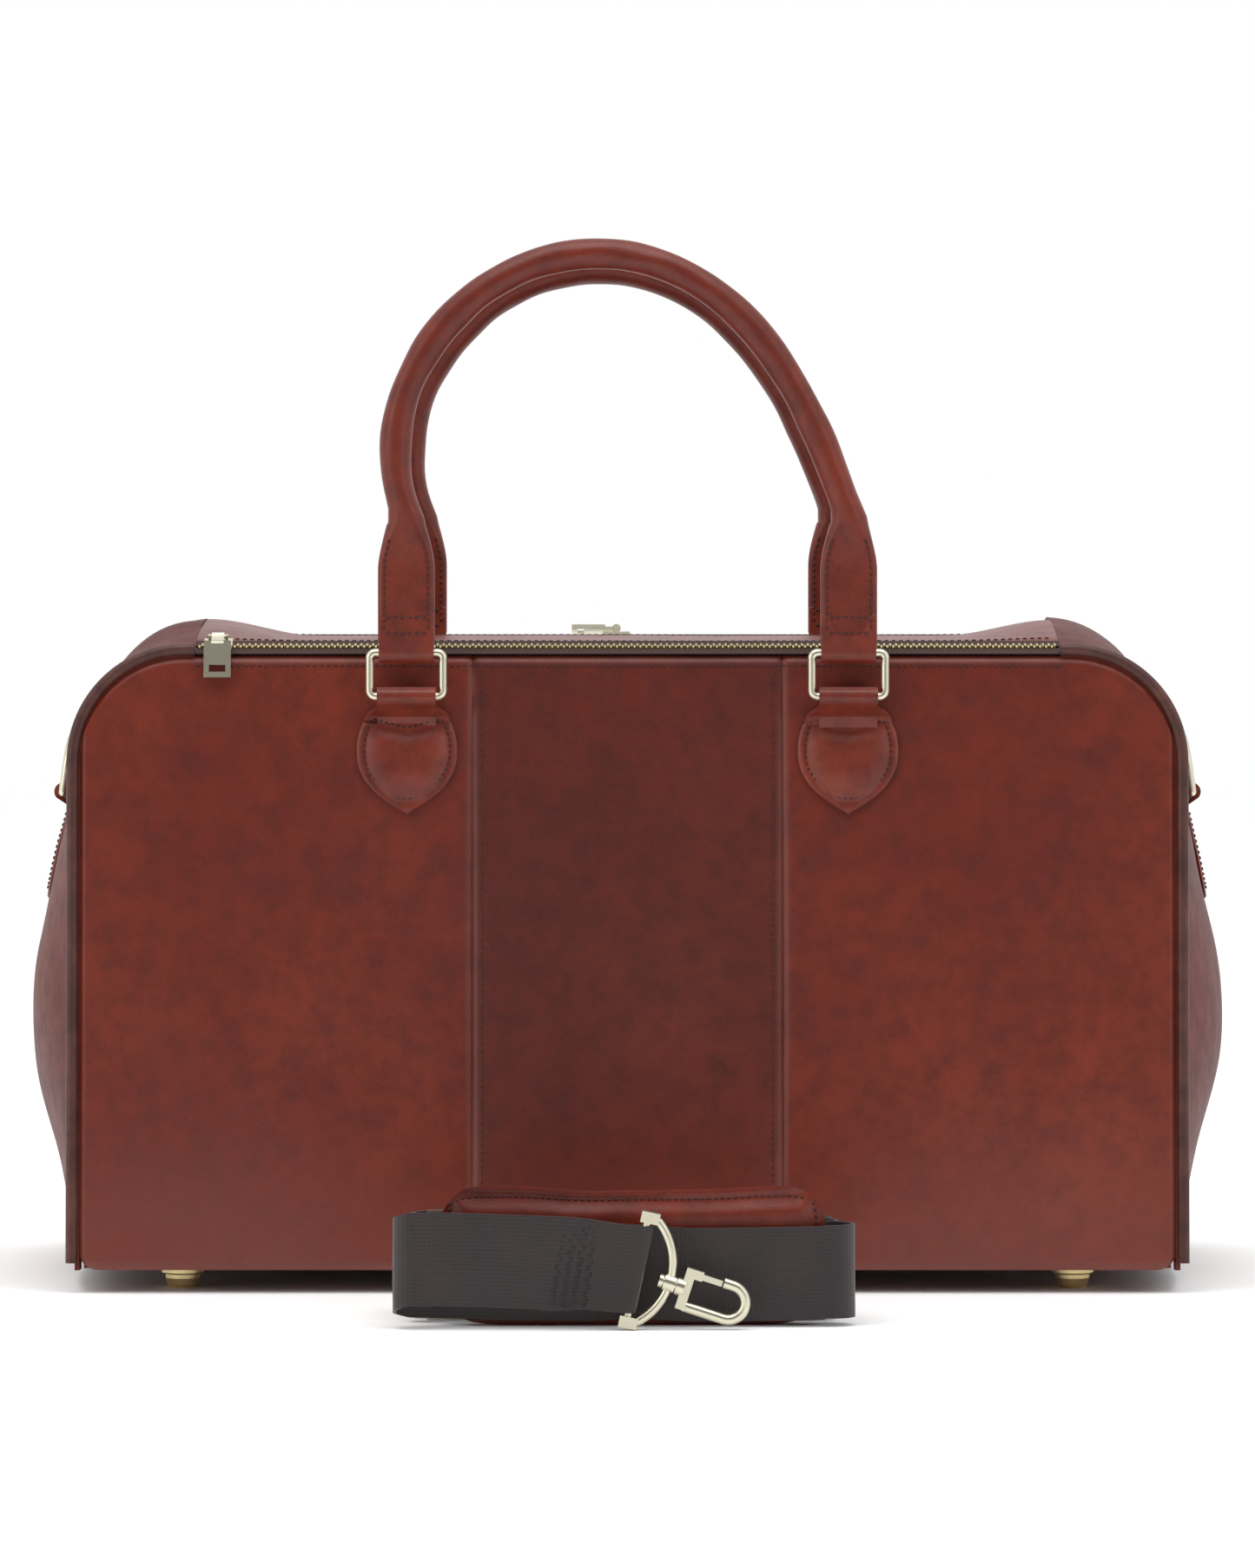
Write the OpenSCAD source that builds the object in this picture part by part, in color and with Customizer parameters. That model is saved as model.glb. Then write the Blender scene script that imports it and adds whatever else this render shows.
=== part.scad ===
// Weekender bag: a leather holdall with two top zips, two rolled handles on metal loops,
// piped front and back panels, bulging end gussets and a folded shoulder strap in front of it.
// Origin: on the floor under the middle of the base. +X right, -Y front, +Z up, millimetres.

/* [Body] */
// Width of the front and back panels between their side seams
panel_w = 466; // [440:1:500]
// Height of the panels' top edge above the floor
panel_top = 270; // [255:1:290]
// Depth of the body at its base
base_d = 234; // [220:1:250]
// Depth of the body at the top edge
top_d = 200; // [190:1:210]
// Radius of the panels' top corners
corner_r = 45; // [35:1:60]
// Width of the middle piece of each panel
middle_w = 132; // [100:1:160]
// Thickness of the body leather with its lining board
leather_t = 2.2; // [1.6:0.1:3]
// Diameter of the piping along the panel edges
piping_d = 5.2; // [4:0.1:6]
// How far the end gussets bulge out at mid height
end_bulge = 27; // [18:1:32]
// How far the gussets rise above the panels at their top seams
hump = 14; // [8:1:18]
// Height of the feet under the base
foot_h = 10; // [8:1:14]
// Diameter of a foot
foot_d = 18; // [14:1:22]

/* [Zips] */
// Half the length of each zip, from the middle to its end stops
zip_half = 184; // [176:1:186]
// Height of the zips' middle line
zip_z = 273.2; // [273.2:0.1:274]
// Tilt of each zip towards its panel, in degrees
zip_tilt = 18; // [14:1:20]
// Length of a slider along its zip
slider_l = 12; // [10:0.5:14]
// Width of a slider
slider_w = 9; // [8:0.5:10]
// Length of a flat puller
puller_l = 16; // [13:1:20]

/* [Handles] */
// Distance of each handle end from the middle of the bag
handle_x = 93.5; // [85:0.5:100]
// Distance of the handle loops' plane from the middle of the bag
ring_y = 113; // [112:0.5:116]
// Height of the loops' lower bar
ring_z = 253; // [248:1:256]
// Width of a metal loop between its wire centres
ring_w = 31; // [28:0.5:34]
// Height of a metal loop between its bar centres
ring_h = 18.5; // [16:0.5:20]
// Diameter of the loop wire
ring_wire = 3.5; // [3:0.1:4]
// Height of a handle from its loop's upper bar to the top of its centreline
handle_rise = 168.5; // [150:1:180]
// Diameter of the rolled part of a handle
grip_d = 13; // [11:0.5:15]
// Width of the flat leather tab at a handle's end
tab_w = 24; // [20:0.5:26]

/* [Strap] */
// Width of the shoulder strap's webbing
web_w = 38; // [38:1:38]
// Thickness of the webbing
web_t = 1.5; // [1.2:0.1:1.8]
// Length of the shoulder pad
pad_l = 158; // [140:1:165]
// Height of the shoulder pad as it stands on edge
pad_h = 58; // [54:1:62]
// Thickness of the shoulder pad
pad_t = 8; // [6:0.5:9]

/* [Hidden] */

gap = 0.15;
tilt = atan((base_d - top_d) / 2 / (panel_top - foot_h));
panel_h = (panel_top - foot_h) / cos(tilt);
half_w = panel_w / 2;
zip_y = top_d / 2 - 8.3;
strip_y = zip_y - 8.1;
strip_z = zip_z + 2.6;
round_fn = 48;

// Half the body's depth at a height above the floor
function half_depth(z) = base_d / 2 - (z - foot_h) * tan(tilt);

// Smooth step from 0 to 1 as t goes from 0 to 1
function ease(t) = let (u = min(max(t, 0), 1)) u * u * (3 - 2 * u);

// Points of an arc round (cx, cy) from angle a0 to a1, in n steps
function arc(cx, cy, r, a0, a1, n) =
  [for (i = [0 : n]) let (a = a0 + (a1 - a0) * i / n) [cx + r * cos(a), cy + r * sin(a)]];

// A closed skin from rings of points, each ring having the same number of them
module skin(rings) {
  n = len(rings[0]);
  m = len(rings);
  walls = [for (i = [0 : m - 2], j = [0 : n - 1]) let (k = (j + 1) % n)
    each [[i * n + j, i * n + k, (i + 1) * n + k], [i * n + j, (i + 1) * n + k, (i + 1) * n + j]]];
  first = [for (j = [n - 1 : -1 : 0]) j];
  last = [for (j = [0 : n - 1]) (m - 1) * n + j];
  polyhedron(points = [for (ring = rings) each ring], faces = concat(walls, [first, last]));
}

// --- Panels ---------------------------------------------------------------------------

// Local frame of a panel: x across, y up the slope, z out of the front; side 1 is the back
module on_panel(side) {
  mirror([0, side > 0 ? 1 : 0, 0])
    translate([0, -base_d / 2, foot_h])
      rotate([90 - tilt, 0, 0])
        children();
}

module panel_outline() {
  translate([-half_w, 0])
    square([panel_w, panel_h - corner_r]);
  translate([-half_w + corner_r, 0])
    square([panel_w - 2 * corner_r, panel_h]);
  for (s = [-1, 1])
    translate([s * (half_w - corner_r), panel_h - corner_r])
      circle(r = corner_r, $fn = 96);
}

module panel_piece(side, x0, x1) {
  color("#6b2e26")
    on_panel(side)
      translate([0, 0, -leather_t])
        linear_extrude(leather_t)
          intersection() {
            panel_outline();
            translate([x0 + gap / 2, -1])
              square([x1 - x0 - gap, panel_h + 2]);
          }
}

module piping(side) {
  r = piping_d / 2;
  off = r + 0.1;
  color("#6b4a42")
    on_panel(side)
      translate([0, 0, -1.2])
        for (s = [-1, 1]) {
          translate([s * (half_w + off), 2, 0])
            rotate([-90, 0, 0])
              cylinder(r = r, h = panel_h - corner_r - 2, $fn = round_fn);
          translate([s * (half_w - corner_r), panel_h - corner_r, 0])
            rotate([0, 0, s > 0 ? 0 : 90])
              rotate_extrude(angle = 90, $fn = 96)
                translate([corner_r + off, 0])
                  circle(r = r, $fn = round_fn);
        }
}

// --- End gussets and top strip --------------------------------------------------------

// Length of the gusset's middle line from the floor end to its top seam
side_l = panel_top - foot_h - corner_r;
arc_l = corner_r * PI / 2;
gusset_l = side_l + arc_l + 4;

// Gusset outline at distance s from its foot, pushed out by off
function gusset_at(s, off) =
  s < side_l ? [half_w + off, foot_h + s]
  : s < side_l + arc_l ? let (a = (s - side_l) / corner_r * 180 / PI)
    [half_w - corner_r + (corner_r + off) * cos(a), panel_top - corner_r + (corner_r + off) * sin(a)]
  : [half_w - corner_r - (s - side_l - arc_l), panel_top + off];

// Bulge of the gusset's middle line at distance s from its foot
function bulge_at(s) = let (top_of_side = side_l + arc_l * 0.35)
  s < 100 ? 8 + (end_bulge - 8) * ease(s / 100)
  : s < top_of_side ? 3.5 + (end_bulge - 3.5) * (1 - ease((s - 100) / (top_of_side - 100)))
  : 3.5 + (hump - 3.5) * ease((s - top_of_side) / (gusset_l - top_of_side));

gusset_rows = 26;
gusset_cols = 10;

function gusset_ring(i) = let (
    s = gusset_l * i / gusset_rows,
    inner = gusset_at(s, -leather_t),
    depth = half_depth(gusset_at(s, 0)[1]) - 4)
  concat(
    [for (j = [0 : gusset_cols]) let (t = 2 * j / gusset_cols - 1,
        p = gusset_at(s, bulge_at(s) * (1 - t * t)))
      [p[0], t * depth, p[1]]],
    [for (j = [gusset_cols : -1 : 0]) let (t = 2 * j / gusset_cols - 1,
        p = gusset_at(s, bulge_at(s) * (1 - t * t) - leather_t))
      [p[0], t * depth, p[1]]]);

module end_gusset(side) {
  color("#6b2e26")
    mirror([side < 0 ? 1 : 0, 0, 0])
      skin([for (i = [0 : gusset_rows]) gusset_ring(i)]);
}

strip_rows = 28;
strip_cols = 8;
strip_x = half_w - corner_r - 4.2;

// Height of the top strip, which rises at its ends to meet the gussets' humps
function strip_at(x, t) = strip_z
  + (panel_top + hump - strip_z - 0.3) * ease((abs(x) - strip_x + 50) / 50) * (1 - t * t);

module top_strip() {
  color("#6b2e26")
    skin([for (i = [0 : strip_rows]) let (x = strip_x * (2 * i / strip_rows - 1))
      concat(
        [for (j = [0 : strip_cols]) let (t = 1 - 2 * j / strip_cols) [x, t * strip_y, strip_at(x, t)]],
        [for (j = [strip_cols : -1 : 0]) let (t = 1 - 2 * j / strip_cols)
          [x, t * strip_y, strip_at(x, t) - leather_t]])]);
}

// --- Base, inside and feet ------------------------------------------------------------

module base_panel() {
  color("#5a241f")
    translate([-half_w + leather_t + 0.4, -base_d / 2 + leather_t + 0.4, foot_h + 0.2])
      difference() {
        cube([panel_w - 2 * leather_t - 0.8, base_d - 2 * leather_t - 0.8, leather_t]);
        for (p = foot_places)
          translate([p[0] + half_w - leather_t - 0.4, p[1] + base_d / 2 - leather_t - 0.4, -1])
            cylinder(d = 4.4, h = leather_t + 2, $fn = 32);
      }
}

board_z = foot_h + leather_t + 0.5;
board_t = 3;

module base_board() {
  color("#3a2c24")
    difference() {
      translate([-half_w + 6, -base_d / 2 + 8, board_z])
        cube([panel_w - 12, base_d - 16, board_t]);
      for (p = foot_places)
        translate([p[0], p[1], board_z - 1])
          cylinder(d = 4.4, h = board_t + 2, $fn = 32);
    }
}

lining_z = board_z + board_t + 1.2;
divider_z = lining_z + 1;

module divider() {
  color("#8c7a62")
    translate([-half_w + corner_r - 6, -1.5, divider_z])
      cube([panel_w - 2 * corner_r + 12, 3, strip_z - leather_t - 2 - divider_z]);
}

// The lining is a thin tub just inside the panels and gussets, open at its top
module lining() {
  z0 = lining_z;
  z1 = panel_top - 6;
  wall = 0.8;
  color("#8c7a62")
    difference() {
      lining_block(0, z0, z1);
      lining_block(wall, z0 + wall, z1 + 1);
    }
}

module lining_block(inset, z0, z1) {
  x0 = half_w - 4 - inset;
  rows = [for (z = [z0, z1 - corner_r + 6, z1 - 14, z1]) let (
      rise = max(z - (panel_top - corner_r), 0),
      x = x0 - corner_r + sqrt(corner_r * corner_r - rise * rise),
      y = half_depth(z) - leather_t - 1.2 - inset)
    [[-x, -y, z], [x, -y, z], [x, y, z], [-x, y, z]]];
  skin([for (i = [len(rows) - 1 : -1 : 0]) rows[i]]);
}

foot_x = 190;
foot_y = 88;
foot_places = [[-foot_x, -foot_y], [foot_x, -foot_y], [0, 0], [-foot_x, foot_y], [foot_x, foot_y]];

// A stepped dome with a flat nose, a stem through the base and a riveted end
module foot() {
  rotate_extrude($fn = round_fn)
    polygon([[0, 0], [foot_d * 0.28, 0], [foot_d * 0.37, foot_h * 0.14], [foot_d * 0.41, foot_h * 0.42],
      [foot_d * 0.41, foot_h * 0.58], [foot_d / 2, foot_h * 0.66], [foot_d / 2, foot_h], [2, foot_h],
      [2, board_z + board_t + 0.9], [0, board_z + board_t + 0.9]]);
}

module feet() {
  color("#b7a678")
    for (p = foot_places)
      translate([p[0], p[1], 0])
        foot();
}

module foot_washers() {
  color("#b7a678")
    for (p = foot_places)
      translate([p[0], p[1], board_z + board_t + 0.1])
        difference() {
          cylinder(d = 12, h = 0.7, $fn = round_fn);
          translate([0, 0, -1])
            cylinder(r = 2.05, h = 3, $fn = 32);
        }
}

// --- Zips -----------------------------------------------------------------------------

// Local frame of a zip: x along it, y across towards the bag's middle, z out of the tape
module on_zip(side) {
  mirror([0, side > 0 ? 1 : 0, 0])
    translate([0, -zip_y, zip_z])
      rotate([zip_tilt, 0, 0])
        children();
}

tooth_in = 0.8;
tooth_out = 2.7;
tooth_h = 1.2;

module zip_tape(side) {
  color("#3a2420")
    on_zip(side)
      for (s = [-1, 1])
        translate([-zip_half, s > 0 ? tooth_out + 0.1 : -8.3, -0.3])
          cube([2 * zip_half, 8.3 - tooth_out - 0.1, 0.6]);
}

module zip_teeth(side) {
  color("#d8c48a")
    on_zip(side)
      for (s = [-1, 1]) {
        translate([-zip_half + 0.4, s > 0 ? tooth_in : -tooth_out, -tooth_h])
          cube([2 * zip_half - 0.8, tooth_out - tooth_in, 2 * tooth_h]);
        translate([s * (zip_half - 2) - 1.5, -tooth_out, -tooth_h])
          cube([3, 2 * tooth_out, 2 * tooth_h + 0.6]);
      }
}

eye_z = 5;
eye_r = 1.9;
bar_r = 0.8;

// A slider: two plates joined by a neck between the teeth, and a bridge that holds the puller.
// The bridge bar lies along the zip, or across it when across is true
module slider(across) {
  for (s = [-1, 1])
    translate([-slider_l / 2, -slider_w / 2, s > 0 ? 1.6 : -2.8])
      cube([slider_l, slider_w, 1.2]);
  translate([-2, -0.45, -2])
    cube([4, 0.9, 4]);
  for (s = [-1, 1])
    translate([-slider_l / 2, s > 0 ? slider_w / 2 - 0.8 : -slider_w / 2, 0.8])
      cube([slider_l, 0.8, 1]);
  rotate([0, 0, across ? 90 : 0]) {
    for (s = [-1, 1])
      translate([s * 3.6 - 0.6, -1.1, 2.7])
        cube([1.2, 2.2, eye_z - 2.7 + bar_r]);
    translate([-3.6, 0, eye_z])
      rotate([0, 90, 0])
        cylinder(r = bar_r, h = 7.2, $fn = 32);
  }
}

slide_end = zip_half - 3.7 - slider_l / 2 - 0.3;
rear_rest = -5;

module slider_front() {
  color("#c8a85c")
    on_zip(-1)
      translate([-slide_end, 0, 0])
        slider(false);
}

module slider_back() {
  color("#8a6a3a")
    on_zip(1)
      translate([rear_rest, 0, 0])
        slider(true);
}

// The front puller bends over the slider and hangs down the front panel
module puller_front() {
  pivot_y = -zip_y - eye_z * sin(zip_tilt);
  pivot_z = zip_z + eye_z * cos(zip_tilt);
  color("#c9c9c4")
    translate([-slide_end, pivot_y, pivot_z]) {
      difference() {
        union() {
          rotate([0, 90, 0])
            cylinder(r = eye_r, h = 5.2, center = true, $fn = 32);
          translate([-2.6, -8, -3.3])
            rotate([19.6, 0, 0])
              cube([5.2, 8, 1.5]);
        }
        rotate([0, 90, 0])
          cylinder(r = bar_r + 0.08, h = 8, center = true, $fn = 32);
      }
      translate([0, -7.4, -2.6])
        rotate([-14.4, 0, 0])
          difference() {
            translate([-5.75, -0.8, -puller_l + 1])
              cube([11.5, 1.5, puller_l]);
            translate([-3.5, -2, -puller_l + 3.4])
              cube([7, 4, 3]);
          }
    }
}

// The rear puller lies along its zip, to the left of the slider
module puller_back() {
  color("#8a7a5a")
    on_zip(1)
      translate([rear_rest, 0, eye_z])
        difference() {
          union() {
            rotate([90, 0, 0])
              cylinder(r = eye_r, h = 5.2, center = true, $fn = 32);
            translate([-6, -2.6, -0.75])
              cube([6, 5.2, 1.5]);
            translate([-5 - puller_l + 1, -5.75, -0.75])
              cube([puller_l - 1, 11.5, 1.5]);
          }
          rotate([90, 0, 0])
            cylinder(r = bar_r + 0.08, h = 8, center = true, $fn = 32);
          translate([-5 - puller_l + 3.5, -3.5, -2])
            cube([3, 7, 4]);
        }
}

// --- Handles --------------------------------------------------------------------------

// Places a handle's parts: side -1 is the front, 1 the back
module on_side(side) {
  mirror([0, side > 0 ? 1 : 0, 0])
    children();
}

loop_r = 4.6;
loop_len = 24;
bore_r = ring_wire / 2 + 0.08;

chape_tip = 203;
chape_wide = 230;
chape_top = 250;
chape_half = 21.3;
neck_half = 12.5;

// Height up a panel's slope of a point at height z
function up_slope(z) = (z - foot_h) / cos(tilt);

// Half of a chape's outline from its tip to its neck, at parameter t from 0 to 1
function chape_side(t) = let (low = min(t / 0.6, 1), b = pow(max(t - 0.6, 0) / 0.4, 2.2))
  t < 0.6 ? [chape_half * (1 - pow(1 - low, 2.4)), chape_tip + (chape_wide - chape_tip) * low]
  : [chape_half + (neck_half - chape_half) * b, chape_wide + (chape_top - chape_wide) * (t - 0.6) / 0.4];

// The shield-shaped leather piece that is sewn on a panel and holds a metal loop
module chape(side, x) {
  half = [for (i = [0 : 20]) chape_side(i / 20)];
  outline = concat(
    [for (p = half) [p[0], up_slope(p[1])]],
    [for (i = [len(half) - 1 : -1 : 1]) [-half[i][0], up_slope(half[i][1])]]);
  color("#7a3322")
    translate([x, 0, 0]) {
      on_panel(side)
        translate([0, 0, 0.3])
          linear_extrude(4.2)
            polygon(outline);
      on_side(side)
        difference() {
          union() {
            translate([-neck_half, 0, 0])
              rotate([90, 0, 90])
                linear_extrude(2 * neck_half)
                  polygon([[-half_depth(242) - 0.4, 242], [-half_depth(242) - 4.4, 238],
                    [-ring_y - 3.6, ring_z - 2.8], [-ring_y + 1, ring_z + 4.4],
                    [-half_depth(250) - 0.5, 250]]);
            translate([-loop_len / 2, -ring_y, ring_z])
              rotate([0, 90, 0])
                cylinder(r = loop_r, h = loop_len, $fn = round_fn);
          }
          translate([-20, -ring_y, ring_z])
            rotate([0, 90, 0])
              cylinder(r = bore_r, h = 40, $fn = round_fn);
        }
    }
}

ring_corner = 2.6;

// A rectangular wire loop standing on its lower bar
module metal_loop(side, x) {
  r = ring_wire / 2;
  w = ring_w / 2 - ring_corner;
  color("#cfcab0")
    on_side(side)
      translate([x, -ring_y, ring_z])
        rotate([90, 0, 0]) {
          for (h = [0, ring_h])
            translate([-w, h, 0])
              rotate([0, 90, 0])
                cylinder(r = r, h = 2 * w, $fn = round_fn);
          for (s = [-1, 1]) {
            translate([s * ring_w / 2, ring_corner, 0])
              rotate([-90, 0, 0])
                cylinder(r = r, h = ring_h - 2 * ring_corner, $fn = round_fn);
            for (t = [0, 1])
              translate([s * w, t > 0 ? ring_h - ring_corner : ring_corner, 0])
                rotate([0, 0, s > 0 ? (t > 0 ? 0 : -90) : (t > 0 ? 90 : 180)])
                  rotate_extrude(angle = 90, $fn = round_fn)
                    translate([ring_corner, 0])
                      circle(r = r, $fn = round_fn);
          }
        }
}

bar_z = ring_z + ring_h;
tab_bottom = bar_z + loop_r + 0.3;
leg_top = bar_z + handle_rise - 110;
tab_t = 8.4;
handle_drift = 13;

// Points of the handle's centreline from the left end over the top to the right end
grip_line = concat(
  [for (i = [0 : 6]) [-handle_x, tab_bottom + (leg_top - tab_bottom) * i / 6]],
  [for (p = arc(0, 0, 1, 176, 4, 24)) [handle_x * p[0] - handle_drift * (1 - pow(1 - p[1], 3)),
    leg_top + 110 * p[1]]],
  [for (i = [6 : -1 : 0]) [handle_x, tab_bottom + (leg_top - tab_bottom) * i / 6]]);

// Half width and half thickness of the grip at a height: flat at its ends, round above
function grip_half(z) = let (t = ease((z - tab_bottom - 30) / 30))
  [tab_w / 2 + (grip_d / 2 - tab_w / 2) * t, tab_t / 2 + (grip_d / 2 - tab_t / 2) * t];

// Section rings along points first..last of the handle's centreline, shrunk by thin
function grip_rings(first, last, thin) = [for (i = [first : last]) let (
    p = grip_line[i],
    q = grip_line[max(i - 1, 0)],
    r = grip_line[min(i + 1, len(grip_line) - 1)],
    d = (r - q) / norm(r - q),
    h = grip_half(p[1]))
  [for (k = [0 : 11]) let (a = -k * 30, u = (h[0] - thin) * cos(a), v = (h[1] - thin) * sin(a))
    [p[0] + d[1] * u, v, p[1] - d[0] * u]]];

module handle_grip(side) {
  last = len(grip_line) - 1;
  color("#6b2e26")
    on_side(side)
      translate([0, -ring_y, 0])
        difference() {
          skin(grip_rings(0, last, 0));
          skin(grip_rings(2, last - 2, 2.4));
          for (s = [-1, 1])
            translate([s * handle_x - tab_w / 2, -1.7, tab_bottom - 1])
              cube([tab_w, 3.4, 20]);
        }
}

module handle_core(side) {
  last = len(grip_line) - 1;
  color("#c9b48a")
    on_side(side)
      translate([0, -ring_y, 0])
        skin(grip_rings(3, last - 3, 2.6));
}

// The leather loops round the upper bars, with the tongues sewn into the handle's ends
module handle_ends(side) {
  color("#8a3a22")
    on_side(side)
      for (s = [-1, 1])
        translate([s * handle_x, -ring_y, bar_z])
          difference() {
            union() {
              rotate([0, 90, 0])
                cylinder(r = loop_r, h = loop_len, center = true, $fn = round_fn);
              translate([-loop_len / 2 + 1.5, -1.5, 0])
                cube([loop_len - 3, 3, loop_r + 14]);
            }
            rotate([0, 90, 0])
              cylinder(r = bore_r, h = loop_len + 2, center = true, $fn = round_fn);
          }
}

// --- End tabs and rings ---------------------------------------------------------------

end_x = 246;
end_z = 209;
end_bar = 27.2;
end_wire = 3.8;
end_loop = 4.4;
end_lean = 8;

module at_end(side) {
  mirror([side < 0 ? 1 : 0, 0, 0])
    children();
}

// A shield-shaped tab sewn on the gusset, with a loop for the ring's bar
module end_tab(side) {
  bore = end_wire / 2 + 0.08;
  color("#7a3322")
    at_end(side) {
      translate([243.4, 0, 205])
        rotate([0, 90 - 14.9, 0])
          linear_extrude(3.6)
            polygon(concat([[0, -12], [0, 12], [12, 13]],
              arc(27, 0, 16, 60, -60, 12), [[12, -13]]));
      difference() {
        union() {
          translate([end_x, 0, end_z])
            rotate([90, 0, 0])
              cylinder(r = end_loop, h = 23, center = true, $fn = round_fn);
          translate([0, 11.5, 0])
            rotate([90, 0, 0])
              linear_extrude(23)
                polygon([[end_x - 4, end_z - 1.5], [end_x - 2.2, end_z - 6], [end_x + 2.4, end_z - 6],
                  [end_x + 4.2, end_z - 1]]);
        }
        translate([end_x, 0, end_z])
          rotate([90, 0, 0])
            cylinder(r = bore, h = 40, center = true, $fn = round_fn);
      }
    }
}

// A D-shaped wire ring standing on its straight bar, leaning against the gusset
module end_ring(side) {
  r = end_wire / 2;
  w = end_bar / 2;
  color("#cfcab0")
    at_end(side)
      translate([end_x, 0, end_z])
        rotate([90, 0, 90])
          rotate([-end_lean, 0, 0]) {
          translate([-w, 0, 0])
            rotate([0, 90, 0])
              cylinder(r = r, h = 2 * w, $fn = round_fn);
          for (s = [-1, 1]) {
            translate([s * w, 0, 0])
              sphere(r = r, $fn = round_fn);
            translate([s * w, 0, 0])
              rotate([-90, 0, 0])
                cylinder(r = r, h = 10, $fn = round_fn);
          }
          translate([0, 10, 0])
            rotate_extrude(angle = 180, $fn = 96)
              translate([w, 0])
                circle(r = r, $fn = round_fn);
        }
}

// --- Shoulder strap, folded and standing on its edge ---------------------------------

web_z = 3.6;
ring_x = 4;
ring_mid = 24.6;
ring_lean = 12;
front_y = -262;
rear_y = -193;
bar_gap = 2.5;

// The webbing's middle line seen from above: round the front ring's bar, back and forth
// in eight folds, then round the rear ring's bar
web_line = concat(
  [[-34, front_y + 0.3], [-18, front_y + 0.7], [-6, front_y + 2.4]],
  arc(ring_x, front_y, bar_gap, 90, -90, 8),
  [[-6, front_y - 2.4], [-18, front_y - 1.1], [-34, front_y - 1.4], [-60, front_y - 1.4]],
  arc(-88, -256.7, 6.7, 270, 90, 8),
  arc(84, -241.8, 8.2, -90, 90, 8),
  arc(-86, -229.8, 3.8, 270, 90, 6),
  arc(82, -222.5, 3.5, -90, 90, 6),
  arc(-84, -215.5, 3.5, 270, 90, 6),
  arc(80, -208.5, 3.5, -90, 90, 6),
  arc(-82, rear_y - 5.3, 6.7, 270, 90, 8),
  [[-60, rear_y + 1.4], [-34, rear_y + 1.4], [-18, rear_y + 1.1], [-6, rear_y + 2.4]],
  arc(ring_x, rear_y, bar_gap, 90, -90, 8),
  [[-6, rear_y - 2.4], [-18, rear_y - 0.7], [-34, rear_y - 0.3]]);

// The first and last rows of that line carry a ring, lean with it and are held up by it
end_rows = 16;
fold_rows = 9;
web_last = len(web_line) - 1;

function by_ring(i) = i < end_rows || i > web_last - end_rows;
function web_lean(i) = by_ring(i) ? tan(ring_lean) * ease((web_line[i][0] + 46) / 30) : 0;
function front_mid(x) = ring_mid + 0.05 * max(0, -4 - x);
function web_mid(i) = let (x = web_line[i][0], low = web_z + web_w / 2)
  i < end_rows ? front_mid(x)
  : i < end_rows + fold_rows ? low + (front_mid(-88) - low) * (1 - ease((i - end_rows + 1) / (fold_rows + 1)))
  : by_ring(i) ? low + (ring_mid - low) * ease((x + 60) / 40) : low;

// The ring squeezes the webbing a little where it goes round the bar
function web_half(i) = web_w / 2 - (by_ring(i) ? 1.4 * ease((web_line[i][0] + 30) / 24) : 0);

function web_corner(i, n, up) = let (p = web_line[i], h = up * web_half(i))
  [p[0] + n[0] + h * web_lean(i), p[1] + n[1], web_mid(i) + h];

module strap_webbing() {
  color("#2e2526")
    skin([for (i = [0 : web_last]) let (
        d = web_line[min(i + 1, web_last)] - web_line[max(i - 1, 0)],
        n = [d[1], -d[0]] / norm(d) * web_t / 2)
      [web_corner(i, n, -1), web_corner(i, n, 1), web_corner(i, -n, 1), web_corner(i, -n, -1)]]);
}

pad_x = 2;
pad_y = -237;

module shoulder_pad() {
  r = 14;
  w = pad_l / 2 - r;
  h = pad_h - 2 * r;
  color("#6b2e26")
    translate([pad_x, pad_y, r])
      rotate([90, 0, 0])
        linear_extrude(pad_t) {
          translate([-w - r, 0])
            square([2 * (w + r), h]);
          translate([-w, -r])
            square([2 * w, h + 2 * r]);
          for (s = [-1, 1])
            for (z = [0, h])
              translate([s * w, z])
                circle(r = r, $fn = 64);
        }
}

// Two leather keepers behind the pad that the webbing runs through
module pad_keepers() {
  color("#6b2e26")
    for (s = [-1, 1])
      translate([pad_x + s * 42 - 11, pad_y + 0.1, web_z - 2])
        difference() {
          cube([22, 6.2, web_w + 4]);
          translate([-1, 1.2, 1.2])
            cube([24, 3.8, web_w + 1.6]);
        }
}

adjuster_x = -70;
adjuster_y = -219;

// A three-bar slide: the webbing runs behind its middle bar and in front of the outer two
module strap_adjuster() {
  r = 1.3;
  color("#cfcab0")
    translate([adjuster_x, adjuster_y, 0]) {
      for (b = [[-11, 2.4], [0, -2.4], [11, 2.4]])
        translate([b[0], b[1], web_z - 2])
          cylinder(r = r, h = web_w + 4, $fn = 32);
      for (z = [web_z - 3.4, web_z + web_w + 0.6])
        translate([-12.3, -3.7, z])
          cube([24.6, 7.4, 2.6]);
    }
}

arc_r = 27;
arc_x = -13;
swivel_tilt = 6;
block = 4.6;

// Local frame of a strap end: x out of the ring in its plane, y up, z towards the viewer
module at_strap_end(y) {
  translate([ring_x, y, ring_mid])
    rotate([90, 0, 0])
      rotate([0, 0, -ring_lean])
        children();
}

// Local frame of a hook: x along its shank, starting on the ring's arc
module at_hook(y) {
  at_strap_end(y)
    translate([arc_x, 0, 0])
      rotate([0, 0, -swivel_tilt])
        translate([arc_r, 0, 0])
          children();
}

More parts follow.
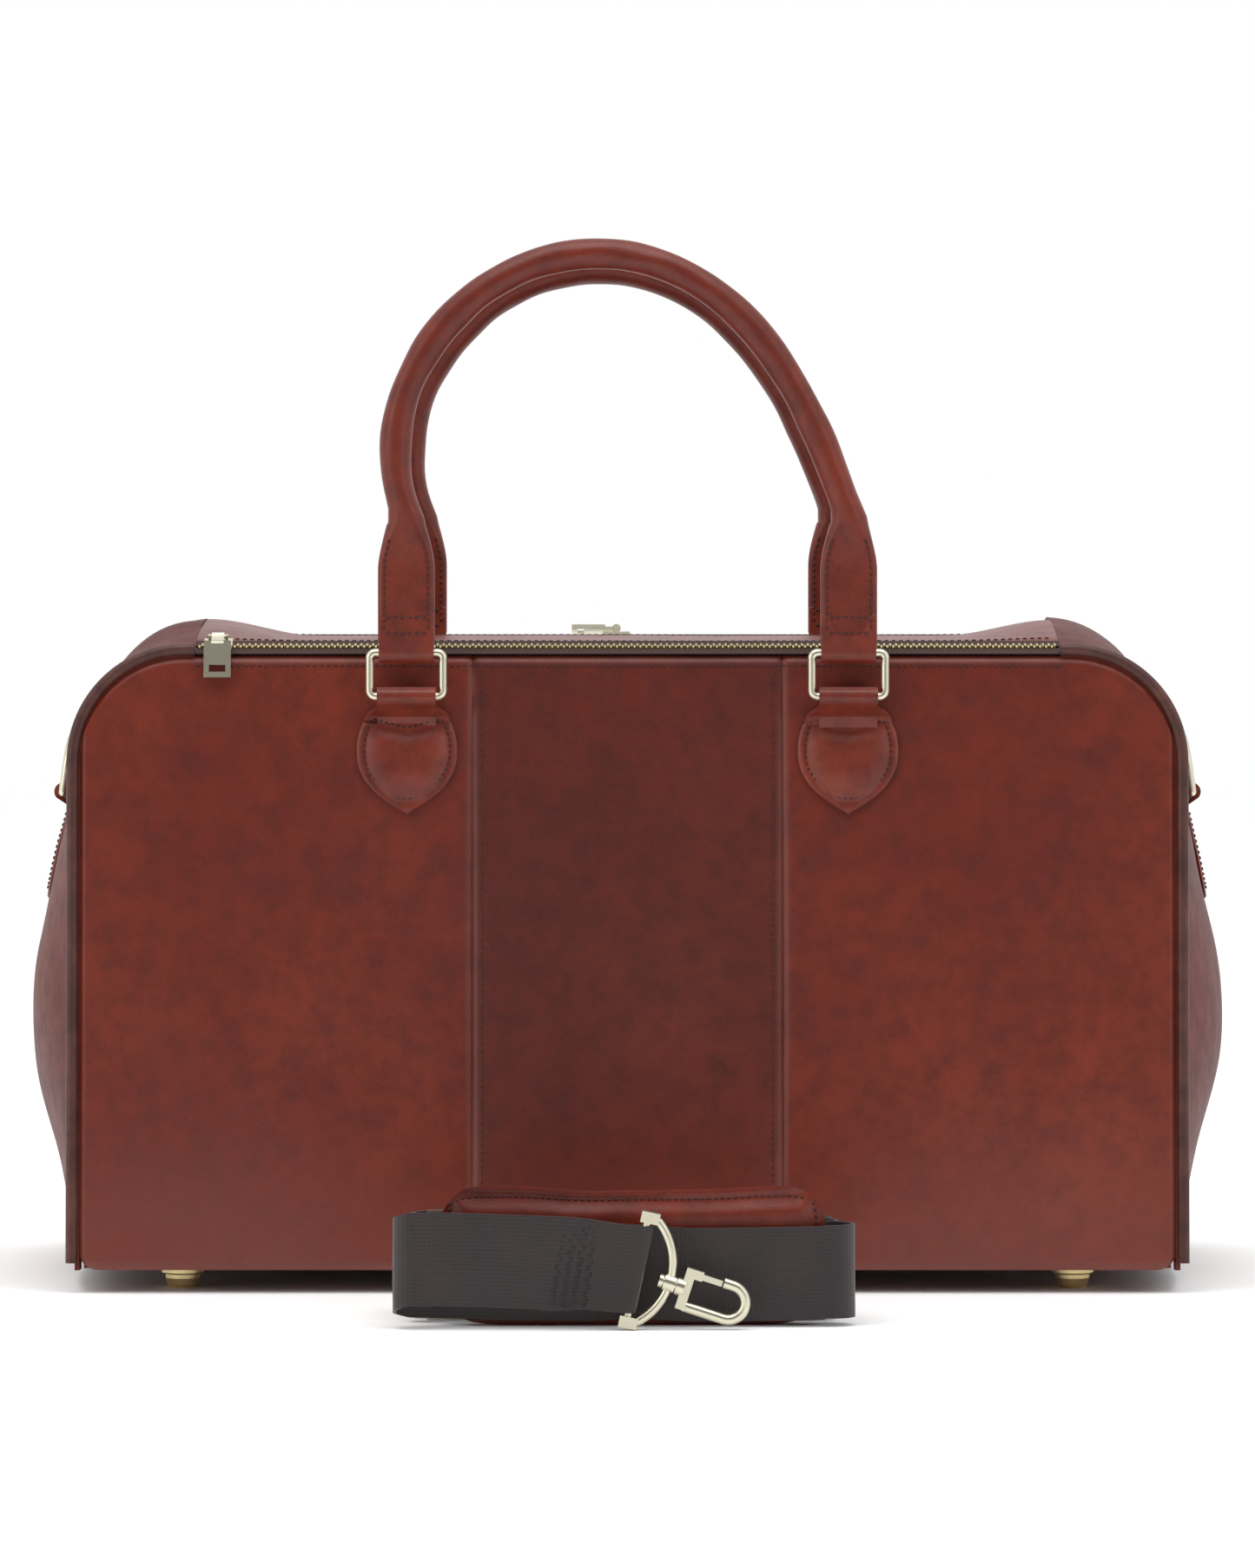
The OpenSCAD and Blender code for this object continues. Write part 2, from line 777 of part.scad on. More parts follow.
// The strap's end ring: a bar between two square blocks, an arc, and a boss for the hook
module strap_ring(y) {
  half = asin((web_w / 2 + 2) / arc_r);
  color("#cfcab0")
    difference() {
      union() {
        at_strap_end(y) {
          translate([0, -web_w / 2 - 2, 0])
            rotate([-90, 0, 0])
              cylinder(r = 1.6, h = web_w + 4, $fn = round_fn);
          for (s = [-1, 1])
            translate([-3, s > 0 ? web_w / 2 + 0.4 : -web_w / 2 - 0.4 - block, -3])
              cube([7.6, block, 6]);
          translate([arc_x, 0, 0])
            rotate([0, 0, -half])
              rotate_extrude(angle = 2 * half, $fn = 96)
                translate([arc_r, 0])
                  circle(r = 1.9, $fn = round_fn);
        }
        at_hook(y)
          translate([-2.4, 0, 0])
            rotate([0, 90, 0])
              cylinder(r = 3.4, h = 4.8, $fn = round_fn);
      }
      at_hook(y)
        translate([-8, 0, 0])
          rotate([0, 90, 0])
            cylinder(r = 1.68, h = 16, $fn = round_fn);
    }
}

hook_r = 2.2;
hook_side = 7;
hook_end = 25;
gate_x = 10;

module hook(y) {
  color("#cfcab0")
    at_hook(y)
      difference() {
        union() {
          translate([-4.4, 0, 0])
            rotate([0, 90, 0])
              cylinder(r = 2.8, h = 1.6, $fn = round_fn);
          translate([-3, 0, 0])
            rotate([0, 90, 0])
              cylinder(r = 1.6, h = 8, $fn = round_fn);
          translate([2.8, 0, 0])
            rotate([0, 90, 0])
              cylinder(r = 3.6, h = 3.4, $fn = round_fn);
          translate([5, -hook_side - 1.6, -2.4])
            cube([4, 2 * hook_side + 3.2, 4.8]);
          translate([9, hook_side - 2.2, -2.4])
            cube([3.2, 3.8, 4.8]);
          translate([8, -hook_side, 0])
            rotate([0, 90, 0])
              cylinder(r = hook_r, h = hook_end - 8, $fn = round_fn);
          translate([hook_end, 0, 0])
            rotate([0, 0, -90])
              rotate_extrude(angle = 180, $fn = 96)
                translate([hook_side, 0])
                  circle(r = hook_r, $fn = round_fn);
          translate([hook_end - 4, hook_side, 0])
            rotate([0, 90, 0])
              cylinder(r = hook_r, h = 4, $fn = round_fn);
        }
        translate([gate_x - 1.4, hook_side - 5, -1.5])
          cube([8, 8, 3]);
      }
  color("#cfcab0")
    at_hook(y)
      translate([gate_x + 0.4, hook_side - 0.5, -2.4])
        cylinder(r = 0.88, h = 4.8, $fn = 32);
}

// The sprung gate that closes the hook's mouth
module hook_gate(y) {
  color("#bdb89e")
    at_hook(y)
      translate([gate_x + 0.4, hook_side - 0.5, 0])
        difference() {
          union() {
            cylinder(r = 1.6, h = 2.4, center = true, $fn = 32);
            translate([0, -1.2, -1.2])
              cube([hook_end - 4.6 - gate_x - 0.4, 2.4, 2.4]);
          }
          cylinder(r = 0.96, h = 4, center = true, $fn = 32);
        }
}

// --- Assembly -------------------------------------------------------------------------

panel_piece(-1, -half_w, -middle_w / 2);  // front_panel_left
panel_piece(-1, -middle_w / 2, middle_w / 2);  // front_panel_middle
panel_piece(-1, middle_w / 2, half_w);  // front_panel_right
panel_piece(1, -half_w, -middle_w / 2);  // back_panel_left
panel_piece(1, -middle_w / 2, middle_w / 2);  // back_panel_middle
panel_piece(1, middle_w / 2, half_w);  // back_panel_right
end_gusset(-1);  // end_gusset_left
end_gusset(1);  // end_gusset_right
top_strip();
base_panel();
base_board();
divider();
lining();
piping(-1);  // piping_front
piping(1);  // piping_back
feet();
foot_washers();
zip_tape(-1);  // zip_tape_front
zip_tape(1);  // zip_tape_back
zip_teeth(-1);  // zip_teeth_front
zip_teeth(1);  // zip_teeth_back
slider_front();
puller_front();
slider_back();
puller_back();
chape(-1, -handle_x);  // chape_front_left
chape(-1, handle_x);  // chape_front_right
chape(1, -handle_x);  // chape_back_left
chape(1, handle_x);  // chape_back_right
metal_loop(-1, -handle_x);  // loop_front_left
metal_loop(-1, handle_x);  // loop_front_right
metal_loop(1, -handle_x);  // loop_back_left
metal_loop(1, handle_x);  // loop_back_right
handle_grip(-1);  // handle_grip_front
handle_core(-1);  // handle_core_front
handle_ends(-1);  // handle_ends_front
handle_grip(1);  // handle_grip_back
handle_core(1);  // handle_core_back
handle_ends(1);  // handle_ends_back
end_tab(-1);  // end_tab_left
end_tab(1);  // end_tab_right
end_ring(-1);  // end_ring_left
end_ring(1);  // end_ring_right
strap_webbing();
shoulder_pad();
pad_keepers();
strap_adjuster();
strap_ring(front_y);  // strap_ring_front
strap_ring(rear_y);  // strap_ring_rear
hook(front_y);  // hook_front
hook(rear_y);  // hook_rear
hook_gate(front_y);  // hook_gate_front
hook_gate(rear_y);  // hook_gate_rear
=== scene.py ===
"""A leather weekender bag: the finished look of every piece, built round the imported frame."""

import math

import bpy
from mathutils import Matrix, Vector, noise


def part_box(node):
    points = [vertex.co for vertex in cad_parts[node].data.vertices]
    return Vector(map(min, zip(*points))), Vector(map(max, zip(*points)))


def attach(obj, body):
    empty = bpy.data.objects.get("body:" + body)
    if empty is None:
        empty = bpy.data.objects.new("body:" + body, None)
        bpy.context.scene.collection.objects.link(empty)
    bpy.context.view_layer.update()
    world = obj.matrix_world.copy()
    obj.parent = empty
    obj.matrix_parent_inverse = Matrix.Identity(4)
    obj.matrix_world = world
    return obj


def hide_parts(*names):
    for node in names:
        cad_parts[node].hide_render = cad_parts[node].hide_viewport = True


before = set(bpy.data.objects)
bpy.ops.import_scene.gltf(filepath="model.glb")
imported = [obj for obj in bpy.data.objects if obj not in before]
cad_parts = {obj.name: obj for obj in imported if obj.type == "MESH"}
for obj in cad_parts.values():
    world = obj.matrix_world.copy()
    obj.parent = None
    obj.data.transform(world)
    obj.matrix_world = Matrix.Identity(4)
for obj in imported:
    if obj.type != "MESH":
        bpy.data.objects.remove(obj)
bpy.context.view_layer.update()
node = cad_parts
mm = 0.001

# Studio
# The bag stands on a pale seamless floor under a large soft box, with a fill from each side. A
# grey flag in front of it deepens the leather's colour, and a long lens looks at it almost level.


def linear(hex_colour):
    channels = [int(hex_colour[i : i + 2], 16) / 255 for i in (1, 3, 5)]
    return [c / 12.92 if c <= 0.04045 else ((c + 0.055) / 1.055) ** 2.4 for c in channels] + [1.0]


def add_node(tree, kind, links=(), **settings):
    """Adds a shader node, sets its properties or inputs by name, and links (socket, input) pairs."""
    made = tree.nodes.new(kind)
    for key, value in settings.items():
        if hasattr(made, key):
            setattr(made, key, value)
        else:
            made.inputs[key.replace("_", " ")].default_value = value
    for socket, name in links:
        tree.links.new(socket, made.inputs[name])
    return made


def new_material(name, roughness, metallic=0.0, **settings):
    """A Principled material, with its tree and shader."""
    material = bpy.data.materials.new(name)
    material.use_nodes = True
    shader = material.node_tree.nodes["Principled BSDF"]
    shader.inputs["Roughness"].default_value = roughness
    shader.inputs["Metallic"].default_value = metallic
    for key, value in settings.items():
        shader.inputs[key.replace("_", " ")].default_value = value
    return material, material.node_tree, shader


def studio_light(name, place, target, size, power, colour="#ffffff"):
    lamp = bpy.data.lights.new(name, "AREA")
    lamp.shape = "RECTANGLE"
    lamp.size, lamp.size_y = size
    lamp.energy = power
    lamp.color = linear(colour)[:3]
    holder = bpy.data.objects.new(name, lamp)
    holder.location = place
    holder.rotation_euler = (Vector(target) - Vector(place)).to_track_quat("-Z", "Y").to_euler()
    bpy.context.scene.collection.objects.link(holder)


def deselect():
    if bpy.context.object and bpy.context.object.mode != "OBJECT":
        bpy.ops.object.mode_set(mode="OBJECT")
    bpy.ops.object.select_all(action="DESELECT")


deselect()
bpy.ops.mesh.primitive_plane_add(size=9, location=(0, 1.0, 0))
floor = bpy.context.object
floor.name = "studio_floor"
floor_paint, _, floor_shader = new_material("matt_white_backdrop_paper", 0.9)
floor_shader.inputs["Base Color"].default_value = linear("#ffffff")
floor.data.materials.append(floor_paint)

deselect()
bpy.ops.mesh.primitive_plane_add(size=1, location=(0, -3.9, 1.9), rotation=(math.pi / 2, 0, 0))
flag = bpy.context.object
flag.name = "grey_flag_behind_camera"
flag.scale = (7.5, 4.4, 1.0)
flag.visible_camera = False
flag_cloth, _, flag_shader = new_material("grey_duvetyne", 0.95)
flag_shader.inputs["Base Color"].default_value = linear("#605e5e")
flag.data.materials.append(flag_cloth)

world = bpy.data.worlds.new("studio_world")
bpy.context.scene.world = world
world.use_nodes = True
world.node_tree.nodes["Background"].inputs["Color"].default_value = linear("#ffffff")
world.node_tree.nodes["Background"].inputs["Strength"].default_value = 1.0
studio_light("top_soft_box", (0.0, -0.7, 2.2), (0, 0, 0.2), (2.4, 1.6), 31)
studio_light("left_soft_box", (-1.9, -1.5, 0.9), (0, 0, 0.18), (0.9, 1.5), 9, "#fff6ee")
studio_light("right_soft_box", (1.8, -1.9, 1.2), (0, 0, 0.2), (0.7, 1.5), 6, "#eef4ff")

eye_distance, eye_height, eye_tilt = 3.41, 0.334, 2.05
camera_data = bpy.data.cameras.new("camera")
camera_data.lens = 179
camera_data.sensor_width = 36
camera_data.clip_end = 50
camera = bpy.data.objects.new("camera", camera_data)
camera.location = (0.0, -eye_distance, eye_height)
camera.rotation_euler = (math.radians(90 - eye_tilt), 0, 0)
bpy.context.scene.collection.objects.link(camera)
bpy.context.scene.camera = camera
bpy.context.scene.view_settings.view_transform = "Standard"

# Shoulder strap webbing
# One length of 38 mm ribbed polyester webbing, black-brown with a soft satin sheen. It is doubled
# and sewn at each end ring, and lies folded in eight on its edge with the pad among its folds.


def arc(cx, cy, r, a0, a1, steps):
    """Points of an arc in millimetres, as the frame's own route has them."""
    turn = [math.radians(a0 + (a1 - a0) * i / steps) for i in range(steps + 1)]
    return [(cx + r * math.cos(a), cy + r * math.sin(a)) for a in turn]


front_y, rear_y, ring_x, bar_gap = -262, -193, 4, 2.5
web_width, web_thick, rib_pitch, yarn_pitch = 38, 1.3, 0.9, 0.8
ring_mid, web_lean, web_pinch, end_rows, fold_rows = 24.6, 12, 2.8, 16, 9
web_route = (
    [(-34, front_y + 0.3), (-18, front_y + 0.7), (-6, front_y + 2.4)]
    + arc(ring_x, front_y, bar_gap, 90, -90, 8)
    + [(-6, front_y - 2.4), (-18, front_y - 1.1), (-34, front_y - 1.4), (-60, front_y - 1.4)]
    + arc(-88, -256.7, 6.7, 270, 90, 8)
    + arc(84, -241.8, 8.2, -90, 90, 8)
    + arc(-86, -229.8, 3.8, 270, 90, 6)
    + arc(82, -222.5, 3.5, -90, 90, 6)
    + arc(-84, -215.5, 3.5, 270, 90, 6)
    + arc(80, -208.5, 3.5, -90, 90, 6)
    + arc(-82, rear_y - 5.3, 6.7, 270, 90, 8)
    + [(-60, rear_y + 1.4), (-34, rear_y + 1.4), (-18, rear_y + 1.1), (-6, rear_y + 2.4)]
    + arc(ring_x, rear_y, bar_gap, 90, -90, 8)
    + [(-6, rear_y - 2.4), (-18, rear_y - 0.7), (-34, rear_y - 0.3)]
)


def lengths(points):
    """The length of a chain of points up to each of them."""
    total = [0.0]
    for a, b in zip(points, points[1:]):
        total.append(total[-1] + (Vector(b) - Vector(a)).length)
    return total


def step_at(total, s):
    """Which point of a chain ends the step that length s falls in."""
    return next((k for k in range(1, len(total) - 1) if total[k] >= s), len(total) - 1)


def along(points, total, s):
    """The point and direction at length s along a chain of points."""
    i = step_at(total, s)
    a, b = Vector(points[i - 1]), Vector(points[i])
    t = (s - total[i - 1]) / max(total[i] - total[i - 1], 1e-9)
    return a.lerp(b, t), (b - a).normalized()


def shaped_grid(name, cells_u, cells_v, place):
    """A grid primitive whose corners (0, 0) to (1, 1) are laid out by place(u, v)."""
    deselect()
    bpy.ops.mesh.primitive_grid_add(x_subdivisions=cells_u, y_subdivisions=cells_v, size=1)
    piece = bpy.context.object
    piece.name = piece.data.name = name
    for v in piece.data.vertices:
        v.co = Vector(place(v.co.x + 0.5, v.co.y + 0.5))
    return piece


def pick(piece):
    deselect()
    piece.select_set(True)
    bpy.context.view_layer.objects.active = piece


def apply_modifier(piece, kind, **settings):
    pick(piece)
    modifier = piece.modifiers.new(kind.lower(), kind)
    for key, value in settings.items():
        setattr(modifier, key, value)
    bpy.ops.object.modifier_apply(modifier=modifier.name)


def smooth(piece, angle=50):
    pick(piece)
    bpy.ops.object.shade_smooth_by_angle(angle=math.radians(angle))


def finish(piece, material, body, slot, *replaced):
    """Gives a finished piece its material and its body, and hides the nodes it stands for; slot is
    not used.
    """
    piece.data.materials.clear()
    piece.data.materials.append(material)
    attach(piece, body)
    if replaced:
        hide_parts(*replaced)
    return piece


def ribbed_webbing():
    """Polyester webbing: fine ribs across it, yarns along it, and a soft satin sheen."""
    material, tree, shader = new_material("ribbed_polyester_webbing", 0.55)
    shader.inputs["Sheen Weight"].default_value = 0.25
    shader.inputs["Sheen Roughness"].default_value = 0.4
    uv = add_node(tree, "ShaderNodeUVMap", uv_map="UVMap")
    ribs = add_node(tree, "ShaderNodeMapping", [(uv.outputs[0], "Vector")])
    ribs.inputs["Scale"].default_value = (web_total / rib_pitch / math.tau, 0.0, 1.0)
    wave_1 = add_node(tree, "ShaderNodeTexWave", [(ribs.outputs[0], "Vector")], Scale=1.0)
    yarns = add_node(tree, "ShaderNodeMapping", [(uv.outputs[0], "Vector")])
    yarns.inputs["Scale"].default_value = (0.0, web_width / yarn_pitch / math.tau, 1.0)
    wave_2 = add_node(
        tree, "ShaderNodeTexWave", [(yarns.outputs[0], "Vector")], Scale=1.0, bands_direction="Y"
    )
    weave = add_node(tree, "ShaderNodeMath", [(wave_1.outputs[1], 0), (wave_2.outputs[1], 1)])
    weave.operation = "MULTIPLY"
    place = add_node(tree, "ShaderNodeTexCoord")
    cloudy = add_node(
        tree, "ShaderNodeTexNoise", [(place.outputs["Object"], "Vector")], Scale=45.0, Detail=3.0
    )
    shade = add_node(tree, "ShaderNodeMix", [(cloudy.outputs[0], 0)], data_type="RGBA")
    shade.inputs[6].default_value = linear("#1a1213")
    shade.inputs[7].default_value = linear("#2d2122")
    tree.links.new(shade.outputs[2], shader.inputs["Base Color"])
    bump = add_node(
        tree, "ShaderNodeBump", [(weave.outputs[0], "Height")], Strength=0.35, Distance=0.0004
    )
    tree.links.new(bump.outputs[0], shader.inputs["Normal"])
    return material


web_lengths = lengths(web_route)
web_total = web_lengths[-1]
web_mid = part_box("strap_webbing")[0].z / mm + web_width / 2


def ease(t):
    t = min(max(t, 0.0), 1.0)
    return t * t * (3 - 2 * t)


def web_stance(i):
    """The height of the webbing's middle at a row of its route, and how far the row leans."""
    x, last = web_route[i][0], len(web_route) - 1
    held_up = ring_mid + 0.05 * max(0, -4 - x)
    lean = math.tan(math.radians(web_lean)) * ease((x + 46) / 30)
    if i < end_rows:
        return held_up, lean
    if i < end_rows + fold_rows:
        fall = 1 - ease((i + 1 - end_rows) / (fold_rows + 1))
        return web_mid + (28.8 - web_mid) * fall, 0
    if i > last - end_rows:
        return web_mid + (ring_mid - web_mid) * ease((x + 60) / 40), lean
    return web_mid, 0


def web_point(u, v):
    """A point of the webbing's middle surface, u along it and v up its width."""
    s = u * web_total
    p, d = along(web_route, web_lengths, s)
    i = step_at(web_lengths, s)
    t = (s - web_lengths[i - 1]) / (web_lengths[i] - web_lengths[i - 1])
    (low_a, lean_a), (low_b, lean_b) = web_stance(i - 1), web_stance(i)
    middle, shear = low_a + (low_b - low_a) * t, lean_a + (lean_b - lean_a) * t
    reach = [min(max(s + e, 0), web_total) for e in (-1, 1)]
    before, after = (along(web_route, web_lengths, r)[1] for r in reach)
    d = (before + after).normalized() if (before + after).length > 0.1 else d
    near_ring = s < web_lengths[end_rows - 1] or s > web_lengths[-end_rows]
    width = web_width - (web_pinch * ease((p.x + 30) / 24) if near_ring else 0)
    z = middle + (v - 0.5) * width
    straight = min(1.0, abs(p.x - ring_x) / 20) * (1.0 if abs(p.x) < 80 else 0.3)
    lean = 0.5 * straight * math.sin(s / 41 + 3 * v)
    sag = 1.4 * straight * math.sin(s / 63 + 0.6)
    x = p.x + d.y * lean + shear * (v - 0.5) * width
    return Vector((x, p.y - d.x * lean, max(z + sag, 1.0))) * mm


webbing = shaped_grid("strap_webbing_cloth", 760, 12, web_point)
apply_modifier(webbing, "SOLIDIFY", thickness=web_thick * mm, offset=0.0)
smooth(webbing, 40)
finish(webbing, ribbed_webbing(), "strap", "webbing_cloth", "strap_webbing")

# Stitching
# Waxed polyester thread, tone on tone with the leather. Each stitch is a short plump thread that
# dips into a hole at both ends, and the holes are what the eye picks out.


def waxed_thread(name, colour):
    material, tree, shader = new_material(name, 0.5)
    shader.inputs["Base Color"].default_value = linear(colour)
    return material


leather_thread = waxed_thread("dark_brown_waxed_thread", "#2e120e")
black_thread = waxed_thread("black_waxed_thread", "#1d1617")


def mend(flip=False, merge=0.0, close=False, outwards=False):
    """Turns the picked mesh over, merges its doubled points, closes its ends or faces it out."""
    bpy.ops.object.mode_set(mode="EDIT")
    bpy.ops.mesh.select_all(action="SELECT")
    if flip:
        bpy.ops.mesh.flip_normals()
    if merge:
        bpy.ops.mesh.remove_doubles(threshold=merge * mm)
    if close:
        bpy.ops.mesh.fill_holes(sides=0)
    if outwards:
        bpy.ops.mesh.normals_make_consistent(inside=False)
    bpy.ops.object.mode_set(mode="OBJECT")


def mesh_piece(name, corners, faces):
    """A piece of many small closed shells, from their corners and faces."""
    mesh = bpy.data.meshes.new(name)
    mesh.from_pydata(corners, [], faces)
    piece = bpy.data.objects.new(name, mesh)
    bpy.context.scene.collection.objects.link(piece)
    pick(piece)
    mend(outwards=True)
    return piece


def stitch_row(name, points, normals, material, body, slot, pitch=2.9, thick=0.75):
    """Stitches along a chain of points in millimetres, lying on a surface with these normals."""
    points = [Vector(p) for p in points]
    total = lengths(points)
    count = max(int(total[-1] / pitch), 1)
    corners, faces = [], []
    sides, ends = 6, [(-0.34, 0.3), (-0.18, 1.0), (0.18, 1.0), (0.34, 0.3)]
    for k in range(count):
        s = (k + 0.5) * total[-1] / count
        middle, d = along(points, total, s)
        up = Vector(normals[step_at(total, s)]).normalized()
        side = d.cross(up).normalized()
        first = len(corners)
        for reach, plump in ends:
            for a in range(sides):
                turn = math.tau * a / sides
                off = side * math.cos(turn) + up * math.sin(turn)
                lift = up * (thick * (0.55 * plump - 0.35))
                corners.append((middle + d * pitch * reach + off * thick / 2 * plump + lift) * mm)
        for ring in range(len(ends) - 1):
            base = first + ring * sides
            for a in range(sides):
                b = (a + 1) % sides
                faces.append((base + a, base + b, base + sides + b, base + sides + a))
        faces.append(tuple(first + a for a in reversed(range(sides))))
        faces.append(tuple(base + sides + a for a in range(sides)))
    piece = mesh_piece(name, corners, faces)
    for f in piece.data.polygons:
        f.use_smooth = True
    return finish(piece, material, body, slot)


zigzag_rows, zigzag_points, zigzag_rise = 4, 13, 2.7
for end, y, out in (("front", front_y, -1), ("rear", rear_y, 1)):
    zigzag = []
    for row in range(zigzag_rows):
        rising = []
        for k in range(zigzag_points):
            x = -29 + row * 4.2 + (1.6 if k % 2 else 0)
            z = ring_mid + (k - (zigzag_points - 1) / 2) * zigzag_rise
            z += 0.05 * -x if out < 0 else 0
            rising.append((x + 0.15 * (z - 25), y + out * 2.15, z))
        zigzag += rising if row % 2 == 0 else rising[::-1]
    normals = [(0, out, 0)] * len(zigzag)
    stitch_row(f"strap_{end}_stitching", zigzag, normals, black_thread, "strap", "webbing_cloth")

# Front and back panels
# Each face of the bag is three pieces of waxed chestnut cowhide on a soft board, joined by two
# folded vertical seams. The leather swells a little between its seams and sags towards the base.


def waxed_leather(
    name, base, light, dark, roughness=0.4, grain=0.9, patina=7.0, pale_sheen_colour="#733a30", wax=0.12
):
    """Full-grain cowhide, drum-dyed and waxed: cloudy colour, a soft oily gloss, pores grain mm
    apart (coarser than real ones so that they show), and a paler, duller tone mixed in by a stored
    attribute: painted reflection of the floor low on the bag, and paler edges and seam folds."""
    material, tree, shader = new_material(name, roughness, IOR=1.45)
    shader.inputs["Coat Weight"].default_value = wax
    shader.inputs["Coat Roughness"].default_value = 0.3
    shader.inputs["Specular IOR Level"].default_value = 0.26 + wax
    place = add_node(tree, "ShaderNodeTexCoord")
    here = (place.outputs["Object"], "Vector")
    clouds = add_node(tree, "ShaderNodeTexNoise", [here], Scale=patina, Detail=4.0, Roughness=0.6)
    mottle = add_node(tree, "ShaderNodeTexNoise", [here], Scale=90.0, Detail=5.0, Roughness=0.7)
    pores = add_node(tree, "ShaderNodeTexVoronoi", [here], Scale=1000 / grain)
    creases = add_node(
        tree, "ShaderNodeTexNoise", [here], Scale=260.0, Detail=4.0, Roughness=0.6, Distortion=0.4
    )
    spread = add_node(tree, "ShaderNodeMapRange", [(clouds.outputs[0], "Value")])
    spread.inputs["From Min"].default_value, spread.inputs["From Max"].default_value = 0.38, 0.66
    warm = add_node(tree, "ShaderNodeMix", [(spread.outputs[0], 0)], data_type="RGBA")
    warm.inputs[6].default_value, warm.inputs[7].default_value = linear(base), linear(light)
    depth = add_node(tree, "ShaderNodeMapRange", [(mottle.outputs[0], "Value")])
    depth.inputs["From Min"].default_value, depth.inputs["From Max"].default_value = 0.4, 0.85
    tone_layer = add_node(
        tree, "ShaderNodeMix", [(depth.outputs[0], 0), (warm.outputs[2], 6)], data_type="RGBA"
    )
    tone_layer.inputs[7].default_value = linear(dark)
    # The stored attribute mixes in the pale colour: painted reflection of the floor low on the bag,
    # and paler edges and seam folds.
    floor_sheen_and_pale_edges = add_node(tree, "ShaderNodeAttribute", attribute_name="floor_sheen_and_pale_edges")
    pale_sheen_links = [(floor_sheen_and_pale_edges.outputs["Fac"], 0), (tone_layer.outputs[2], 6)]
    pale_sheen_mix = add_node(tree, "ShaderNodeMix", pale_sheen_links, data_type="RGBA")
    pale_sheen_mix.inputs[7].default_value = linear(pale_sheen_colour)
    tree.links.new(pale_sheen_mix.outputs[2], shader.inputs["Base Color"])
    gloss = add_node(tree, "ShaderNodeMapRange", [(mottle.outputs[0], "Value")])
    gloss.inputs["To Min"].default_value = roughness - 0.08
    gloss.inputs["To Max"].default_value = roughness + 0.12
    tree.links.new(gloss.outputs[0], shader.inputs["Roughness"])
    fine = add_node(
        tree, "ShaderNodeBump", [(pores.outputs[0], "Height")], Strength=0.12, Distance=0.0003
    )
    folds = [(creases.outputs[0], "Height"), (fine.outputs[0], "Normal")]
    rough = add_node(tree, "ShaderNodeBump", folds, Strength=0.16, Distance=0.0006)
    tree.links.new(rough.outputs[0], shader.inputs["Normal"])
    return material


chestnut = waxed_leather("waxed_chestnut_cowhide", "#622014", "#742a18", "#44140d")
dark_chestnut = waxed_leather("waxed_dark_chestnut_cowhide", "#541c13", "#662417", "#3a110b")
# The ends take a darker copy of the chestnut colours as painted shade, toning down their grazing
# reflections. Their rougher, unwaxed finish is real.
painted_shade_end_chestnut = waxed_leather(
    "dull_chestnut_cowhide_painted_shade", "#541c13", "#662417", "#3a110b", 0.5, pale_sheen_colour="#5f2f27", wax=0.0
)
left_lo, left_hi = (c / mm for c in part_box("front_panel_left"))
half_w, foot_h, panel_top = -left_lo.x, left_lo.z, left_hi.z
seam_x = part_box("front_panel_middle")[1].x / mm
base_half, top_half, corner_r, low_r, hide_t = -left_lo.y, 100, 45.0, 9, 2.0
panel_lean = (base_half - top_half) / (panel_top - foot_h)


def half_depth(z):
    """Half the bag's depth at a height: the faces lean towards each other."""
    return base_half - (z - foot_h) * panel_lean


def panel_edge(x):
    """The lowest and highest point of the panel at x: rounded at all four corners."""
    reach = max(abs(x) - (half_w - corner_r), 0)
    foot = max(abs(x) - (half_w - low_r), 0)
    top = panel_top - corner_r + math.sqrt(max(corner_r**2 - reach**2, 0))
    return foot_h + low_r - math.sqrt(max(low_r**2 - foot**2, 0)), top


def panel_depth(x, z):
    """How far the panel's face stands from the bag's middle plane, with its swell and seams."""
    across = min(abs(abs(x) - seam_x), half_w - abs(x)) if abs(x) > seam_x else seam_x - abs(x)
    width = half_w - seam_x if abs(x) > seam_x else 2 * seam_x
    up = (z - foot_h) / (panel_top - foot_h)
    swell = 3.2 * math.sqrt(min(1, max(across, 0) / (width / 2)))
    swell *= math.sin(math.pi * up**0.8) ** 0.7
    ripple = 1.3 * noise.noise(Vector((x / 95, z / 150, 1.7)))
    ripple += 0.5 * noise.noise(Vector((x / 33, z / 60, 5.1)))
    seam = -1.1 * math.exp(-(((abs(x) - seam_x) / 1.3) ** 2))
    low, high = panel_edge(x)
    rim = min(half_w - abs(x), high - z, z - low)
    turned = -2.2 * (1 - ease(max(rim, 0) / 2.6))
    return half_depth(z) + swell + ripple * ease(rim / 25) + seam + turned


def panel_piece(name, side, x0, x1):
    """One piece of a face. Its columns crowd towards a rounded corner so that the arc is smooth."""
    crowd = 0.35

    def place(u, v):
        x = x0 + (x1 - x0) * u
        if abs(x0) > abs(x1) and u < crowd:
            x = x0 + (x1 - x0) * crowd * (1 - math.cos(u / crowd * math.pi / 2))
        if abs(x1) > abs(x0) and u > 1 - crowd:
            x = x1 + (x0 - x1) * crowd * (1 - math.cos((1 - u) / crowd * math.pi / 2))
        low, high = panel_edge(x)
        rise = 0.5 - 0.5 * math.cos(math.pi * v)
        z = low + (high - low) * (0.6 * v + 0.4 * rise)
        return Vector((x, side * panel_depth(x, z), z)) * mm

    piece = shaped_grid(name, 90, 120, place)
    mend(flip=side > 0)
    apply_modifier(piece, "SOLIDIFY", thickness=hide_t * mm, offset=-1.0)
    smooth(piece)
    return piece


